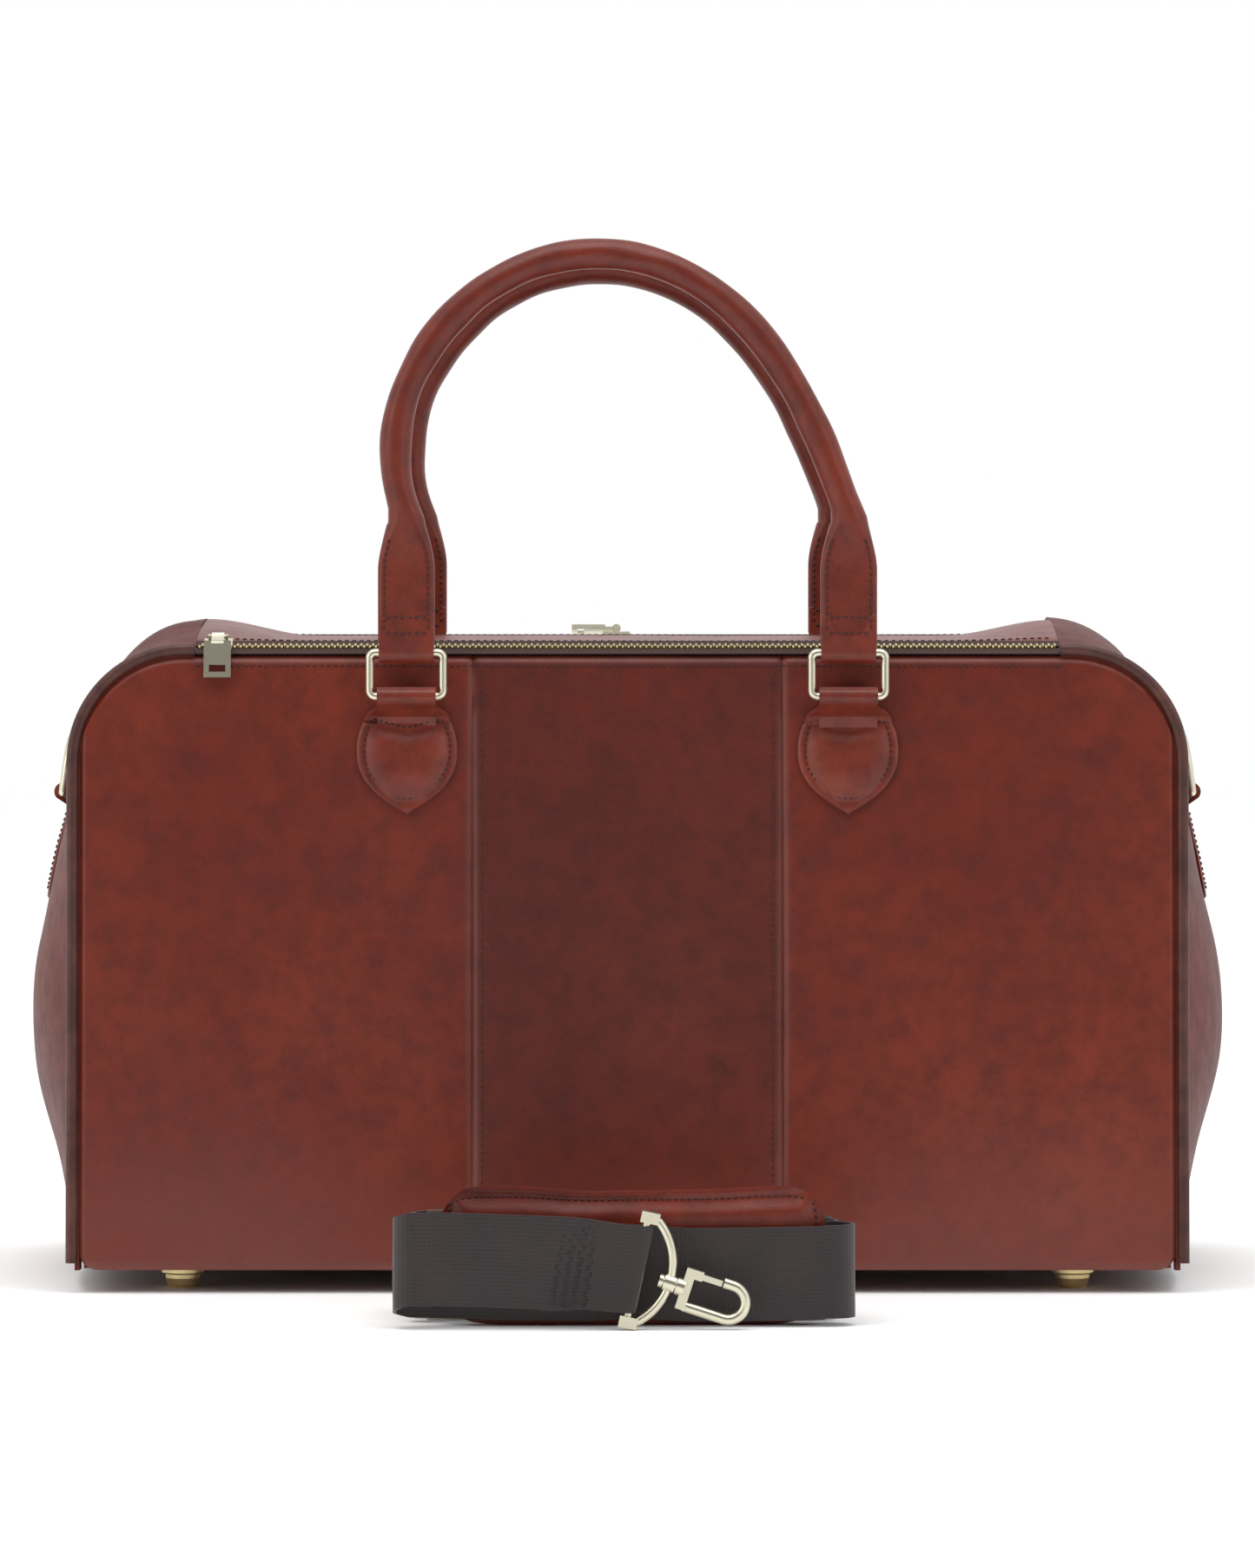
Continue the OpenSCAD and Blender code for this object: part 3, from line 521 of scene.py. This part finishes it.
def mark_sheen_and_pale_edges(piece, how_much):
    """Stores how far each point's colour turns to the pale tone (painted floor reflection low down,
    paler edges), from its place in millimetres.
    """
    tone_layer = piece.data.attributes.new("floor_sheen_and_pale_edges", "FLOAT", "POINT")
    for v, value in zip(piece.data.vertices, tone_layer.data):
        value.value = how_much(v.co / mm)


def panel_sheen_and_pale_edges(p):
    """Painted reflection of the floor: panels turn paler towards the base. They are also paler along
    their edges and seam folds.
    """
    low, high = panel_edge(p.x)
    rim = min(half_w - abs(p.x), high - p.z, p.z - low, abs(abs(p.x) - seam_x) + 0.6)
    patchy = 0.7 + 0.6 * noise.noise(Vector((p.x / 24, p.z / 24, 2.0)))
    return min(1.0, 0.55 * ease((95 - p.z) / 85) + 0.5 * patchy * (1 - ease(rim / 3.5)))


def spread(low, high, count):
    return [low + (high - low) * i / (count - 1) for i in range(count)]


for face, side in (("front", -1), ("back", 1)):
    spans = (("left", -half_w, -seam_x), ("middle", -seam_x, seam_x), ("right", seam_x, half_w))
    for part, x0, x1 in spans:
        skin = panel_piece(f"{face}_{part}_leather", side, x0, x1)
        # Painted floor reflection: the panel's colour turns paler towards the base, and paler along
        # its edges and seams.
        mark_sheen_and_pale_edges(skin, panel_sheen_and_pale_edges)
        hide = dark_chestnut if part == "middle" else chestnut
        finish(skin, hide, "bag", "body_leather", f"{face}_panel_{part}")
    edge_gap, out = 4.2, [(0, side, 0)] * 61
    for hand, end in (("left", -1), ("right", 1)):
        x = end * (seam_x - edge_gap)
        row = [(x, side * panel_depth(x, z), z) for z in spread(foot_h + 5, panel_top - 7, 61)]
        name = f"{face}_seam_stitching_{hand}"
        stitch_row(name, row, out, leather_thread, "bag", "body_leather", 3.1, 0.6)
    z = panel_top - edge_gap
    row = [(x, side * panel_depth(x, z), z) for x in spread(-184, 184, 61)]
    stitch_row(f"{face}_top_stitching", row, out, leather_thread, "bag", "body_leather")

# Piping
# A round cord wrapped in a strip of worn grey-brown leather and sewn into the seam between each
# face and the gussets. A thin dark seam line shows on both sides of it.

pipe_leather = waxed_leather("worn_piping_leather", "#42211c", "#5a352c", "#2b120d", 0.5, 0.8, 30)


pipe_r, pipe_out, pipe_in = 2.5, 2.7, 1.0


def round_cord(name, route, radius):
    """A closed round cord along a route in millimetres."""
    route = [Vector(p) for p in route]
    rows = len(route) - 1

    def place(u, v):
        i = round(v * rows)
        d = (route[min(i + 1, rows)] - route[max(i - 1, 0)]).normalized()
        side = d.cross(Vector((0, 1, 0))).normalized()
        up = side.cross(d)
        a = math.tau * u
        return (route[i] + side * radius * math.cos(a) + up * radius * math.sin(a)) * mm

    piece = shaped_grid(name, 14, rows, place)
    mend(merge=0.02, close=True, outwards=True)
    smooth(piece)
    return piece


def edge_route(side, end):
    """Points round a panel's edge from its lower corner over the top corner to the zip."""
    corner_x, corner_z = half_w - corner_r, panel_top - corner_r
    run = [(half_w + pipe_out, z) for z in spread(foot_h + 3, corner_z, 31)[:-1]]
    run += arc(corner_x, corner_z, corner_r + pipe_out, 0, 90, 40)
    run.append((corner_x - 4, panel_top + pipe_out))
    return [(end * x, side * (half_depth(z) - pipe_in), z) for x, z in run]


for face, side in (("front", -1), ("back", 1)):
    for hand, end in (("left", -1), ("right", 1)):
        cord = round_cord(f"{face}_piping_{hand}_cord", edge_route(side, end), pipe_r)
        finish(cord, pipe_leather, "bag", "piping_leather", f"piping_{face}")

# Ends of the bag
# Each gusset is one piece of hide from the base round the top corner. It bulges over the packed
# corners, creases softly as it narrows, and rises in a hump where the top strip is sewn to it.

side_l, corner_l, flap_l = panel_top - corner_r - foot_h, corner_r * math.pi / 2, 4
gusset_l = side_l + corner_l + flap_l
foot_bulge, full_bulge, turn_bulge, top_bulge, full_s = 8, 27, 3.5, 14, 100


def gusset_at(s, off):
    """The gusset's edge line at length s from its foot, moved outwards by off, as (x, z)."""
    corner_x, corner_z = half_w - corner_r, panel_top - corner_r
    if s < side_l:
        return half_w + off, foot_h + s
    a = (s - side_l) / corner_r
    if a < math.pi / 2:
        return corner_x + (corner_r + off) * math.cos(a), corner_z + (corner_r + off) * math.sin(a)
    return corner_x - (s - side_l - corner_l), panel_top + off


def bulge_at(s):
    """How far the gusset's middle stands out of its edge line."""
    turn = side_l + 0.35 * corner_l
    if s < full_s:
        return foot_bulge + (full_bulge - foot_bulge) * ease(s / full_s)
    if s < turn:
        fall = 1 - ease((s - full_s) / (turn - full_s))
        return turn_bulge + (full_bulge - turn_bulge) * fall
    return turn_bulge + (top_bulge - turn_bulge) * ease((s - turn) / (gusset_l - turn))


def gusset_point(end, s, t):
    """A point of a gusset at length s from its foot and t from -1 to 1 across the bag."""
    soft = 1 - t * t
    fold = 1.6 * noise.noise(Vector((t * 1.6, s / 45, end * 3.0)))
    fold += 0.9 * noise.noise(Vector((t * 4, s / 17, end * 7.0))) * ease((s - 150) / 60)
    tuck = 1.3
    off = bulge_at(s) * soft + fold * soft + tuck * ease((abs(t) - 0.95) / 0.05)
    x, z = gusset_at(s, off)
    depth = half_depth(gusset_at(s, 0)[1]) - tuck
    return Vector((end * x, t * depth, z))


for end, hand in ((-1, "left"), (1, "right")):

    def place(u, v):
        return gusset_point(end, gusset_l * v, end * (2 * u - 1)) * mm

    gusset = shaped_grid(f"{hand}_gusset_leather", 70, 110, place)
    apply_modifier(gusset, "SOLIDIFY", thickness=hide_t * mm, offset=-1.0)
    smooth(gusset)
    # Painted reflection of the floor: the gusset's colour turns paler towards the base.
    mark_sheen_and_pale_edges(gusset, lambda p: 0.5 * ease((100 - p.z) / 90))
    # The gusset's darker colour is painted shade.
    finish(gusset, painted_shade_end_chestnut, "bag", "body_leather", f"end_gusset_{hand}")

# Top strip and base
# A long strip of hide closes the top between the two zips, and a plain hide panel the base.

strip_x = half_w - corner_r - 4.2
strip_y, strip_z, strip_rise, rise_l = 83.6, 275.8, panel_top + top_bulge - 276.1, 50


def strip_point(x, y):
    """A point of the strip, which rises to meet the gusset's hump at each end."""
    t = y / strip_y
    rise = strip_rise * ease((abs(x) - strip_x + rise_l) / rise_l) * (1 - t * t)
    soft = 1.1 * noise.noise(Vector((x / 60, y / 50, 9.0))) * (1 - t * t)
    return Vector((x, y, strip_z + rise + soft - 1.2 * ease((abs(t) - 0.93) / 0.07)))


def strip_place(u, v):
    return strip_point((2 * u - 1) * strip_x, (2 * v - 1) * strip_y) * mm


top = shaped_grid("top_strip_leather", 120, 50, strip_place)
apply_modifier(top, "SOLIDIFY", thickness=hide_t * mm, offset=-1.0)
smooth(top)
finish(top, chestnut, "bag", "body_leather", "top_strip")
for face, side in (("front", -1), ("back", 1)):
    row = [strip_point(x, side * (strip_y - 7)) for x in spread(3 - strip_x, strip_x - 3, 61)]
    name, up = f"top_strip_stitching_{face}", [(0, 0, 1)] * 61
    stitch_row(name, row, up, leather_thread, "bag", "body_leather", 3.1)

base_lo, base_hi = (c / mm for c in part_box("base_panel"))


def base_point(u, v):
    """A point of the base, whose edges turn up and whose middle is a little uneven."""
    x, y = base_lo.x + (base_hi.x - base_lo.x) * u, base_hi.y + (base_lo.y - base_hi.y) * v
    edge = min(x - base_lo.x, base_hi.x - x, y - base_lo.y, base_hi.y - y)
    sag = 0.5 * noise.noise(Vector((x / 70, y / 60, 4.0))) * ease(edge / 20)
    return Vector((x, y, base_lo.z + 0.5 * (1 - ease(edge / 3)) + sag)) * mm


base = shaped_grid("base_leather", 100, 50, base_point)
apply_modifier(base, "SOLIDIFY", thickness=1.9 * mm, offset=-1.0)
smooth(base)
finish(base, chestnut, "bag", "body_leather", "base_panel")

# Zips
# Two bright gold zips with metal teeth 2.5 mm apart on woven dark brown tape. The teeth of the two
# rows mesh along the middle, and the tapes lean down to the faces.


def plain_metal(name, colour, roughness):
    """Plated or cast metal: a clean reflection broken by fine handling marks."""
    material, tree, shader = new_material(name, roughness, 1.0)
    shader.inputs["Base Color"].default_value = linear(colour)
    place = add_node(tree, "ShaderNodeTexCoord")
    here = (place.outputs["Object"], "Vector")
    marks = add_node(tree, "ShaderNodeTexNoise", [here], Scale=900.0, Detail=3.0)
    dull = add_node(tree, "ShaderNodeMapRange", [(marks.outputs[0], "Value")])
    dull.inputs["To Min"].default_value = roughness - 0.03
    dull.inputs["To Max"].default_value = roughness + 0.05
    tree.links.new(dull.outputs[0], shader.inputs["Roughness"])
    return material


def woven_cloth(name, dark, light, pitch, roughness=0.85):
    """Plain woven cloth with yarns pitch mm apart."""
    material, tree, shader = new_material(name, roughness)
    place = add_node(tree, "ShaderNodeTexCoord")
    here = (place.outputs["Object"], "Vector")
    fine = 1000 / pitch / math.tau
    across = add_node(tree, "ShaderNodeTexWave", [here], Scale=fine)
    along_it = add_node(tree, "ShaderNodeTexWave", [here], Scale=fine, bands_direction="Y")
    weave = add_node(tree, "ShaderNodeMath", [(across.outputs[1], 0), (along_it.outputs[1], 1)])
    weave.operation = "MULTIPLY"
    shade = add_node(tree, "ShaderNodeMix", [(weave.outputs[0], 0)], data_type="RGBA")
    shade.inputs[6].default_value, shade.inputs[7].default_value = linear(dark), linear(light)
    tree.links.new(shade.outputs[2], shader.inputs["Base Color"])
    bump = add_node(
        tree, "ShaderNodeBump", [(weave.outputs[0], "Height")], Strength=0.3, Distance=0.0003
    )
    tree.links.new(bump.outputs[0], shader.inputs["Normal"])
    return material


zip_metal = plain_metal("bright_gold_zip_metal", "#c9b681", 0.3)
tape_cloth = woven_cloth("woven_zip_tape", "#2c1613", "#452820", 0.7)
zip_y, zip_z, zip_half, zip_tilt = 91.7, 273.2, 184.0, math.radians(18)
tilt_c, tilt_s = math.cos(zip_tilt), math.sin(zip_tilt)
tooth_pitch, tooth_count, first_tooth = 2.5, 146, -182.0


def on_zip(side, x, v, w):
    """A point of a zip: v across towards the bag's middle and w out of its tape."""
    y = -zip_y + v * tilt_c - w * tilt_s
    return Vector((x, -side * y, zip_z + v * tilt_s + w * tilt_c))


def boxes(name, blocks):
    """One object of eight-cornered blocks, each given by its corners in millimetres."""
    corners, faces = [], []
    for block in blocks:
        n = len(corners)
        corners += [Vector(c) * mm for c in block]
        quads = ((0, 3, 2, 1), (4, 5, 6, 7), (0, 1, 5, 4), (1, 2, 6, 5), (2, 3, 7, 6), (3, 0, 4, 7))
        faces += [tuple(n + c for c in quad) for quad in quads]
    return mesh_piece(name, corners, faces)


def tooth(side, x, s):
    """One tooth at x: s is -1 in the outer row and 1 in the inner, low face first."""
    tip, root, block = -s * 0.55, s * 2.6, []
    for w, narrow, wide, shrink in ((-1.0, 0.5, 0.65, 1.0), (1.15, 0.4, 0.5, 0.8)):
        ends = ((-narrow, tip * shrink), (narrow, tip * shrink), (wide, root), (-wide, root))
        block += [on_zip(side, x + dx, v, w) for dx, v in ends]
    return block


for face, side in (("front", -1), ("back", 1)):
    for row, s in (("outer", -1), ("inner", 1)):

        def place(u, v):
            return on_zip(side, (2 * u - 1) * zip_half, s * (1.4 + 6.8 * v), 0.1) * mm

        tape = shaped_grid(f"zip_tape_{face}_{row}", 90, 4, place)
        apply_modifier(tape, "SOLIDIFY", thickness=0.5 * mm, offset=0.0)
        finish(tape, tape_cloth, "bag", "tape_cloth", f"zip_tape_{face}")
    teeth = []
    for k in range(tooth_count):
        x = first_tooth + tooth_pitch * k
        teeth += [tooth(side, x, -1), tooth(side, x + tooth_pitch / 2, 1)]
    zip_teeth = boxes(f"zip_teeth_{face}_rows", teeth)
    finish(zip_teeth, zip_metal, "bag", "brass_metal", f"zip_teeth_{face}")

# Chapes and metal loops
# Four shield-shaped leather tongues are sewn on the faces. Each has a padded heart, goes up round
# the lower bar of a rectangular wire loop and comes down behind itself.

trim = waxed_leather("burnished_trim_leather", "#6a2519", "#7d3320", "#451710", 0.38, 0.8, 30)
handle_x, ring_y, ring_z, bar_z = 93.5, 113.0, 253.0, 271.5
chape_tip, chape_wide, chape_top, chape_half, neck_half = 203, 230, 250, 21.3, 12.7
wide_t, face_t, face_v, band_half = 0.6, 0.84, 0.6, 12.4


def chape_side(t):
    """Half width and height of the chape's outline, from its tip over its widest to its neck."""
    if t < wide_t:
        low = t / wide_t
        return chape_half * (1 - (1 - low) ** 2.4), chape_tip + (chape_wide - chape_tip) * low
    high = (t - wide_t) / (1 - wide_t)
    half = chape_half - (chape_half - neck_half) * high**2.2
    return half, chape_wide + (chape_top - chape_wide) * high


def chape_lift(across, t):
    """Height of the chape's face over the panel: thin rim, stitched groove, padded heart."""
    half, z = chape_side(t)
    rim = min(half * (1 - abs(across)) * 0.85, (z - chape_tip) * 0.55)
    top = 241.5 - 4.0 * (1 - abs(across))
    heart = math.sqrt(ease((rim - 3.6) / 7.5) * ease((top - z) / 7.0))
    groove = 0.4 * math.exp(-(((rim - 2.6) / 0.9) ** 2))
    return 2.4 - 1.0 * (1 - ease(rim / 1.3)) - groove + 2.3 * heart


def chape_route():
    """The tongue's way from the panel up over the bar and down behind, as (y, z)."""
    start = panel_depth(handle_x, 242) + 2.4
    front = [(start, 242), (start + 1.9, 244.6), (ring_y - 1.2, 247.6), (ring_y + 2.6, 250)]
    back = [(half_depth(246) + 3.2, 246), (half_depth(240) + 1.6, 240)]
    return front + arc(ring_y, ring_z, 4.1, -20, 180, 12) + back


route = chape_route()
route_len = lengths(route)
for face, side in (("front", -1), ("back", 1)):
    for hand, end in (("left", -1), ("right", 1)):
        middle = end * handle_x

        def chape_point(u, v):
            across = 2 * u - 1
            if v <= face_v:
                t = v / face_v * face_t
                half, z = chape_side(t)
                x = middle + across * half
                return Vector((x, side * (panel_depth(x, z) + chape_lift(across, t)), z)) * mm
            p, _ = along(route, route_len, (v - face_v) / (1 - face_v) * route_len[-1])
            half = chape_side(face_t)[0]
            half = band_half + (half - band_half) * (1 - ease((v - face_v) / 0.09))
            return Vector((middle + across * half, side * p.x, p.y)) * mm

        tongue = shaped_grid(f"{face}_{hand}_chape_leather", 44, 120, chape_point)
        mend(flip=side > 0, merge=0.01)
        apply_modifier(tongue, "SOLIDIFY", thickness=1.9 * mm, offset=-1.0)
        smooth(tongue, 55)
        finish(tongue, trim, "bag", "trim_leather", f"chape_{face}_{hand}")

        def sewn(across, t):
            half, z = chape_side(t)
            x = middle + across * max(half - 3.0, 0)
            z += 3.6 * max(1 - t / wide_t, 0)
            return (x, side * (panel_depth(x, z) + 2.15), z)

        ts = spread(0.86, 0.08, 31)
        rim = [sewn(-1, t) for t in ts] + [sewn(1, t) for t in reversed(ts)]
        vee = []
        for a in spread(-1, 1, 21):
            x, z = middle + a * 14.8, 243.2 - 3.7 * (1 - abs(a))
            vee.append((x, side * (panel_depth(x, z) + 2.3), z))
        for word, row in (("rim", rim), ("neck", vee)):
            name = f"{face}_{hand}_chape_{word}_stitching"
            up = [(0, side, 0)] * len(row)
            stitch_row(name, row, up, leather_thread, "bag", "trim_leather", 2.5, 0.8)

# Handles
# A cotton rope rolled in hide. Near each end the roll opens into a flat stitched tab, whose leather
# loop hangs on the upper bar of a metal loop. The roll's seam runs along its underside.


leg_foot, bow_z, bow_rise, handle_drift = 276.4, 330, 110, 13
leg_half, leg_thin, roll_r, leg_end, roll_l = 12, 4.1, 6.5, 306.4, 30


def grip_route():
    """The handle's way up one leg, over the bow, which leans to the left, and down the other."""
    legs = [(-handle_x, z) for z in spread(leg_foot, bow_z, 25)[:-1]]
    bow = []
    for i in range(89):
        a = math.radians(178 - 2 * i)
        c, s = math.cos(a), math.sin(a)
        bow.append((handle_x * c - handle_drift * (1 - (1 - s) ** 3), bow_z + bow_rise * s))
    return legs + bow + [(-x, z) for x, z in reversed(legs)]


def grip_half(z):
    """Half width, half thickness and squareness of the handle's section at a height."""
    t = ease((z - leg_end) / roll_l)
    dent = 0.25 * math.sin(z / 7) * t
    wide, deep = leg_half + (roll_r - leg_half) * t + dent, leg_thin + (roll_r - leg_thin) * t
    return wide, deep, 0.35 + 0.65 * t


def grip_mesh(name, side):
    route = grip_route()
    rows = len(route) - 1

    def place(u, v):
        i = round(v * rows)
        p, a, b = (Vector(route[k]) for k in (i, max(i - 1, 0), min(i + 1, rows)))
        d = (b - a).normalized()
        wide, deep, square = grip_half(p.y)
        c, s = math.cos(math.tau * u), math.sin(math.tau * u)
        way = Vector((p.x / 16 + c, p.y / 16, s))
        c, s = math.copysign(abs(c) ** square, c), math.copysign(abs(s) ** square, s)
        soft = 0.35 * noise.noise(way) * ease((p.y - 300) / 30)
        x, z = p.x + d.y * (wide + soft) * c, p.y - d.x * (wide + soft) * c
        return Vector((x, side * (ring_y + (deep + soft) * s), z)) * mm

    piece = shaped_grid(name, 36, rows, place)
    mend(merge=0.01, close=True, outwards=True)
    smooth(piece)
    return piece


for face, side in (("front", -1), ("back", 1)):
    body = f"handle_{face}"
    grip = grip_mesh(f"{face}_handle_leather", side)
    finish(grip, chestnut, body, "body_leather", f"handle_grip_{face}", f"handle_core_{face}")
    for hand, end in (("left", -1), ("right", 1)):
        x = end * handle_x
        route = (
            [(ring_y - 3.0, 288), (ring_y - 3.1, 278)]
            + arc(ring_y, bar_z, 3.1, -180, 0, 14)
            + [(ring_y + 3.1, 278), (ring_y + 3.0, 288)]
        )
        route_len = lengths(route)

        def loop_point(u, v):
            p, _ = along(route, route_len, v * route_len[-1])
            return Vector((x + (2 * u - 1) * 11.6, side * p.x, p.y)) * mm

        loop = shaped_grid(f"{face}_{hand}_handle_loop", 12, 70, loop_point)
        apply_modifier(loop, "SOLIDIFY", thickness=2.0 * mm, offset=0.0)
        apply_modifier(loop, "BEVEL", width=0.4 * mm, segments=2, limit_method="ANGLE")
        smooth(loop)
        finish(loop, trim, body, "trim_leather", f"handle_ends_{face}")
        for out in (-1, 1):
            up, rows = [(0, out, 0)] * 20, {}
            for word, edge in (("side_left", -1), ("side_right", 1)):
                rows[word] = []
                for z in spread(281, 320, 20):
                    wide, deep, _ = grip_half(z)
                    y = side * ring_y + out * (deep + 0.02)
                    rows[word].append((x + edge * (wide - 2.6), y, z))
            y = side * ring_y + out * (leg_thin + 0.1)
            for word, z in (("lower", 279.8), ("upper", 286.6)):
                rows[word] = [(row_x, y, z) for row_x in spread(x - 9, x + 9, 20)]
            where = "outside" if out == side else "inside"
            for word, row in rows.items():
                name = f"{face}_{hand}_tab_{where}_{word}_stitching"
                stitch_row(name, row, up, leather_thread, body, "body_leather", 2.7, 0.8)

# End tabs
# A shield of the same hide on each gusset carries a welded D-ring. Its loop goes round the ring's
# straight bar, and a row of stitches follows its edge.

end_ring_x, end_ring_z, end_loop_r = 246.0, 209.0, 4.0
tab_neck, tab_wide, tab_wide_t, tab_v = 11.2, 15.2, 0.55, 0.7
tab_top_s, tab_length = 193, 41


def tab_half(t):
    """Half width of the tab, from its neck at 0 to its round foot at 1."""
    if t < tab_wide_t:
        return tab_neck + (tab_wide - tab_neck) * ease(t / (1 - tab_wide_t))
    return tab_wide * math.sqrt(max(1 - ((t - tab_wide_t) / (1 - tab_wide_t)) ** 2, 0))


for end, hand in ((-1, "left"), (1, "right")):

    def tab_point(u, v):
        """The tab's face: v from 0 at its rounded foot to tab_v at its neck, then round the bar."""
        across = 2 * u - 1
        if v <= tab_v:
            t = 1 - v / tab_v
            y = across * tab_half(t)
            rim = min(tab_half(t) - abs(y), 45 * (1 - t))
            lift = 1.6 - 0.8 * (1 - ease(rim / 1.1)) + 0.5 * ease((rim - 3.5) / 5) * ease(t / 0.2)
            under = gusset_point(end, tab_top_s - tab_length * t, 0.0)
            return Vector((under.x + end * lift, -end * y, under.z)) * mm
        a = math.radians(-50 + 225 * (v - tab_v) / (1 - tab_v))
        x, z = end_ring_x + end_loop_r * math.cos(a), end_ring_z + end_loop_r * math.sin(a)
        return Vector((end * x, -end * across * tab_neck, z)) * mm

    tab = shaped_grid(f"{hand}_end_tab_leather", 30, 90, tab_point)
    mend(flip=True, merge=0.01)
    apply_modifier(tab, "SOLIDIFY", thickness=1.8 * mm, offset=-1.0)
    smooth(tab, 55)
    finish(tab, trim, "bag", "trim_leather", f"end_tab_{hand}")
    ts, rim = spread(0.06, 0.92, 21), []
    for across, t in [(-1, t) for t in ts] + [(1, t) for t in ts[-2::-1]]:
        under = gusset_point(end, tab_top_s - tab_length * t, 0.0)
        y = across * max(tab_half(t) - 3.0, 0)
        rim.append((under.x + end * 1.7, y, under.z + 1.5 * t))
    up = [(end, 0, 0)] * len(rim)
    stitch_row(f"{hand}_end_tab_stitching", rim, up, leather_thread, "bag", "trim_leather", 2.5, 0.8)

# Shoulder pad
# Two pieces of hide sewn together over a foam sheet, standing on edge among the webbing's folds.
# Its top edge dips a little in the middle, and two leather keepers behind it hold the webbing.

pad_lo, pad_hi = (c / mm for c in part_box("shoulder_pad"))
pad_mid, pad_y = (pad_lo.x + pad_hi.x) / 2, (pad_lo.y + pad_hi.y) / 2


half_long, half_tall, seam_at = 79, 29, 4


def pad_point(a, b, face):
    """A point of the pad's front or back, a and b from -1 to 1 across and up it."""
    x = half_long * a * math.sqrt(1 - 0.10 * b**6)
    z = half_tall * b * math.sqrt(1 - 0.55 * abs(a) ** 14)
    dip = 3.4 * (1 - a * a) * (b + 1) / 2 - 1.2 * noise.noise(Vector((x / 30, 2.0, b)))
    rim = min(half_long - abs(x), half_tall - abs(z))
    plump = 1.1 + 2.6 * ease((rim - 4.5) / 7) + 0.5 * ease(rim / 1.5)
    plump -= 0.5 * math.exp(-(((rim - seam_at) / 1.2) ** 2))
    plump += 0.35 * noise.noise(Vector((x / 25, z / 18, face * 3.0)))
    bow = 0.8 * math.sin(x / 32)
    return Vector((pad_mid + x, pad_y + face * plump + bow, 29.2 + z - dip * (0.5 + 0.5 * b)))


halves = []
for face in (-1, 1):

    def place(u, v):
        return pad_point(-face * (2 * u - 1), 2 * v - 1, face) * mm

    halves.append(shaped_grid(f"pad_half_{face}", 110, 44, place))
deselect()
for half in halves:
    half.select_set(True)
bpy.context.view_layer.objects.active = halves[0]
bpy.ops.object.join()
pad = bpy.context.object
pad.name = pad.data.name = "shoulder_pad_leather"
bpy.ops.object.mode_set(mode="EDIT")
bpy.ops.mesh.select_all(action="DESELECT")
bpy.ops.mesh.select_non_manifold()
bpy.ops.mesh.bridge_edge_loops()
bpy.ops.object.mode_set(mode="OBJECT")
mend(outwards=True)
smooth(pad)
finish(pad, chestnut, "strap", "body_leather", "shoulder_pad")
sewn_a, sewn_b = 0.95, 0.86
sewn_way = [(-sewn_a, b) for b in spread(-sewn_b, sewn_b, 31)]
sewn_way += [(a, sewn_b) for a in spread(-sewn_a, sewn_a, 31)]
sewn_way += [(sewn_a, b) for b in spread(sewn_b, -sewn_b, 31)]
for word, face in (("front", -1), ("back", 1)):
    row = [pad_point(a, b, face) for a, b in sewn_way]
    up = [(0, face, 0)] * len(row)
    stitch_row(f"pad_{word}_stitching", row, up, leather_thread, "strap", "body_leather", 2.7, 0.8)

keep_lo, keep_hi = (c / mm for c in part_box("pad_keepers"))
bend_r, inset = 1.2, 1.8
y0, y1, z0, z1 = keep_lo.y + inset, keep_hi.y - inset, keep_lo.z + inset, keep_hi.z - inset
loop = []
for k, (y, z) in enumerate(((y1, z1), (y0, z1), (y0, z0), (y1, z0))):
    loop += arc(y, z, bend_r, 90 * k, 90 * k + 90, 4)
loop.append(loop[0])
loop_len = lengths(loop)
for hand, end in (("left", -1), ("right", 1)):

    def keeper_point(u, v):
        p, _ = along(loop, loop_len, v * loop_len[-1])
        return Vector((pad_mid + end * 42 + (2 * u - 1) * 10.8, p.x, p.y)) * mm

    keeper = shaped_grid(f"{hand}_pad_keeper_leather", 8, 60, keeper_point)
    mend(merge=0.01)
    apply_modifier(keeper, "SOLIDIFY", thickness=1.1 * mm, offset=0.0)
    smooth(keeper)
    finish(keeper, chestnut, "strap", "body_leather", "pad_keepers")

# Metal, lining and board
# The hardware is cast and polished, plated a pale gold; the feet and zips are warmer brass. The
# lining is buff cotton, and the base is stiffened with fibre board.

pale_gold = plain_metal("pale_gold_plated_zinc", "#d9d4bd", 0.3)
brass = plain_metal("warm_brass_plate", "#e6d29c", 0.34)
cotton = woven_cloth("buff_cotton_lining", "#7d6c56", "#948269", 0.6)
board = woven_cloth("brown_fibre_board", "#35281f", "#443328", 1.5)
hardware = ["end_ring_left", "end_ring_right", "strap_adjuster"]
hardware += [f"{part}_{face}" for part in ("slider", "puller") for face in ("front", "back")]
hardware += [f"loop_{face}_{hand}" for face in ("front", "back") for hand in ("left", "right")]
for part in ("strap_ring", "hook", "hook_gate"):
    hardware += [f"{part}_{end}" for end in ("front", "rear")]
looks = {
    pale_gold: hardware,
    brass: ["feet", "foot_washers"],
    cotton: ["lining", "divider"],
    board: ["base_board"],
}
for material, names in looks.items():
    for name in names:
        for held in node[name].material_slots:
            held.material = material
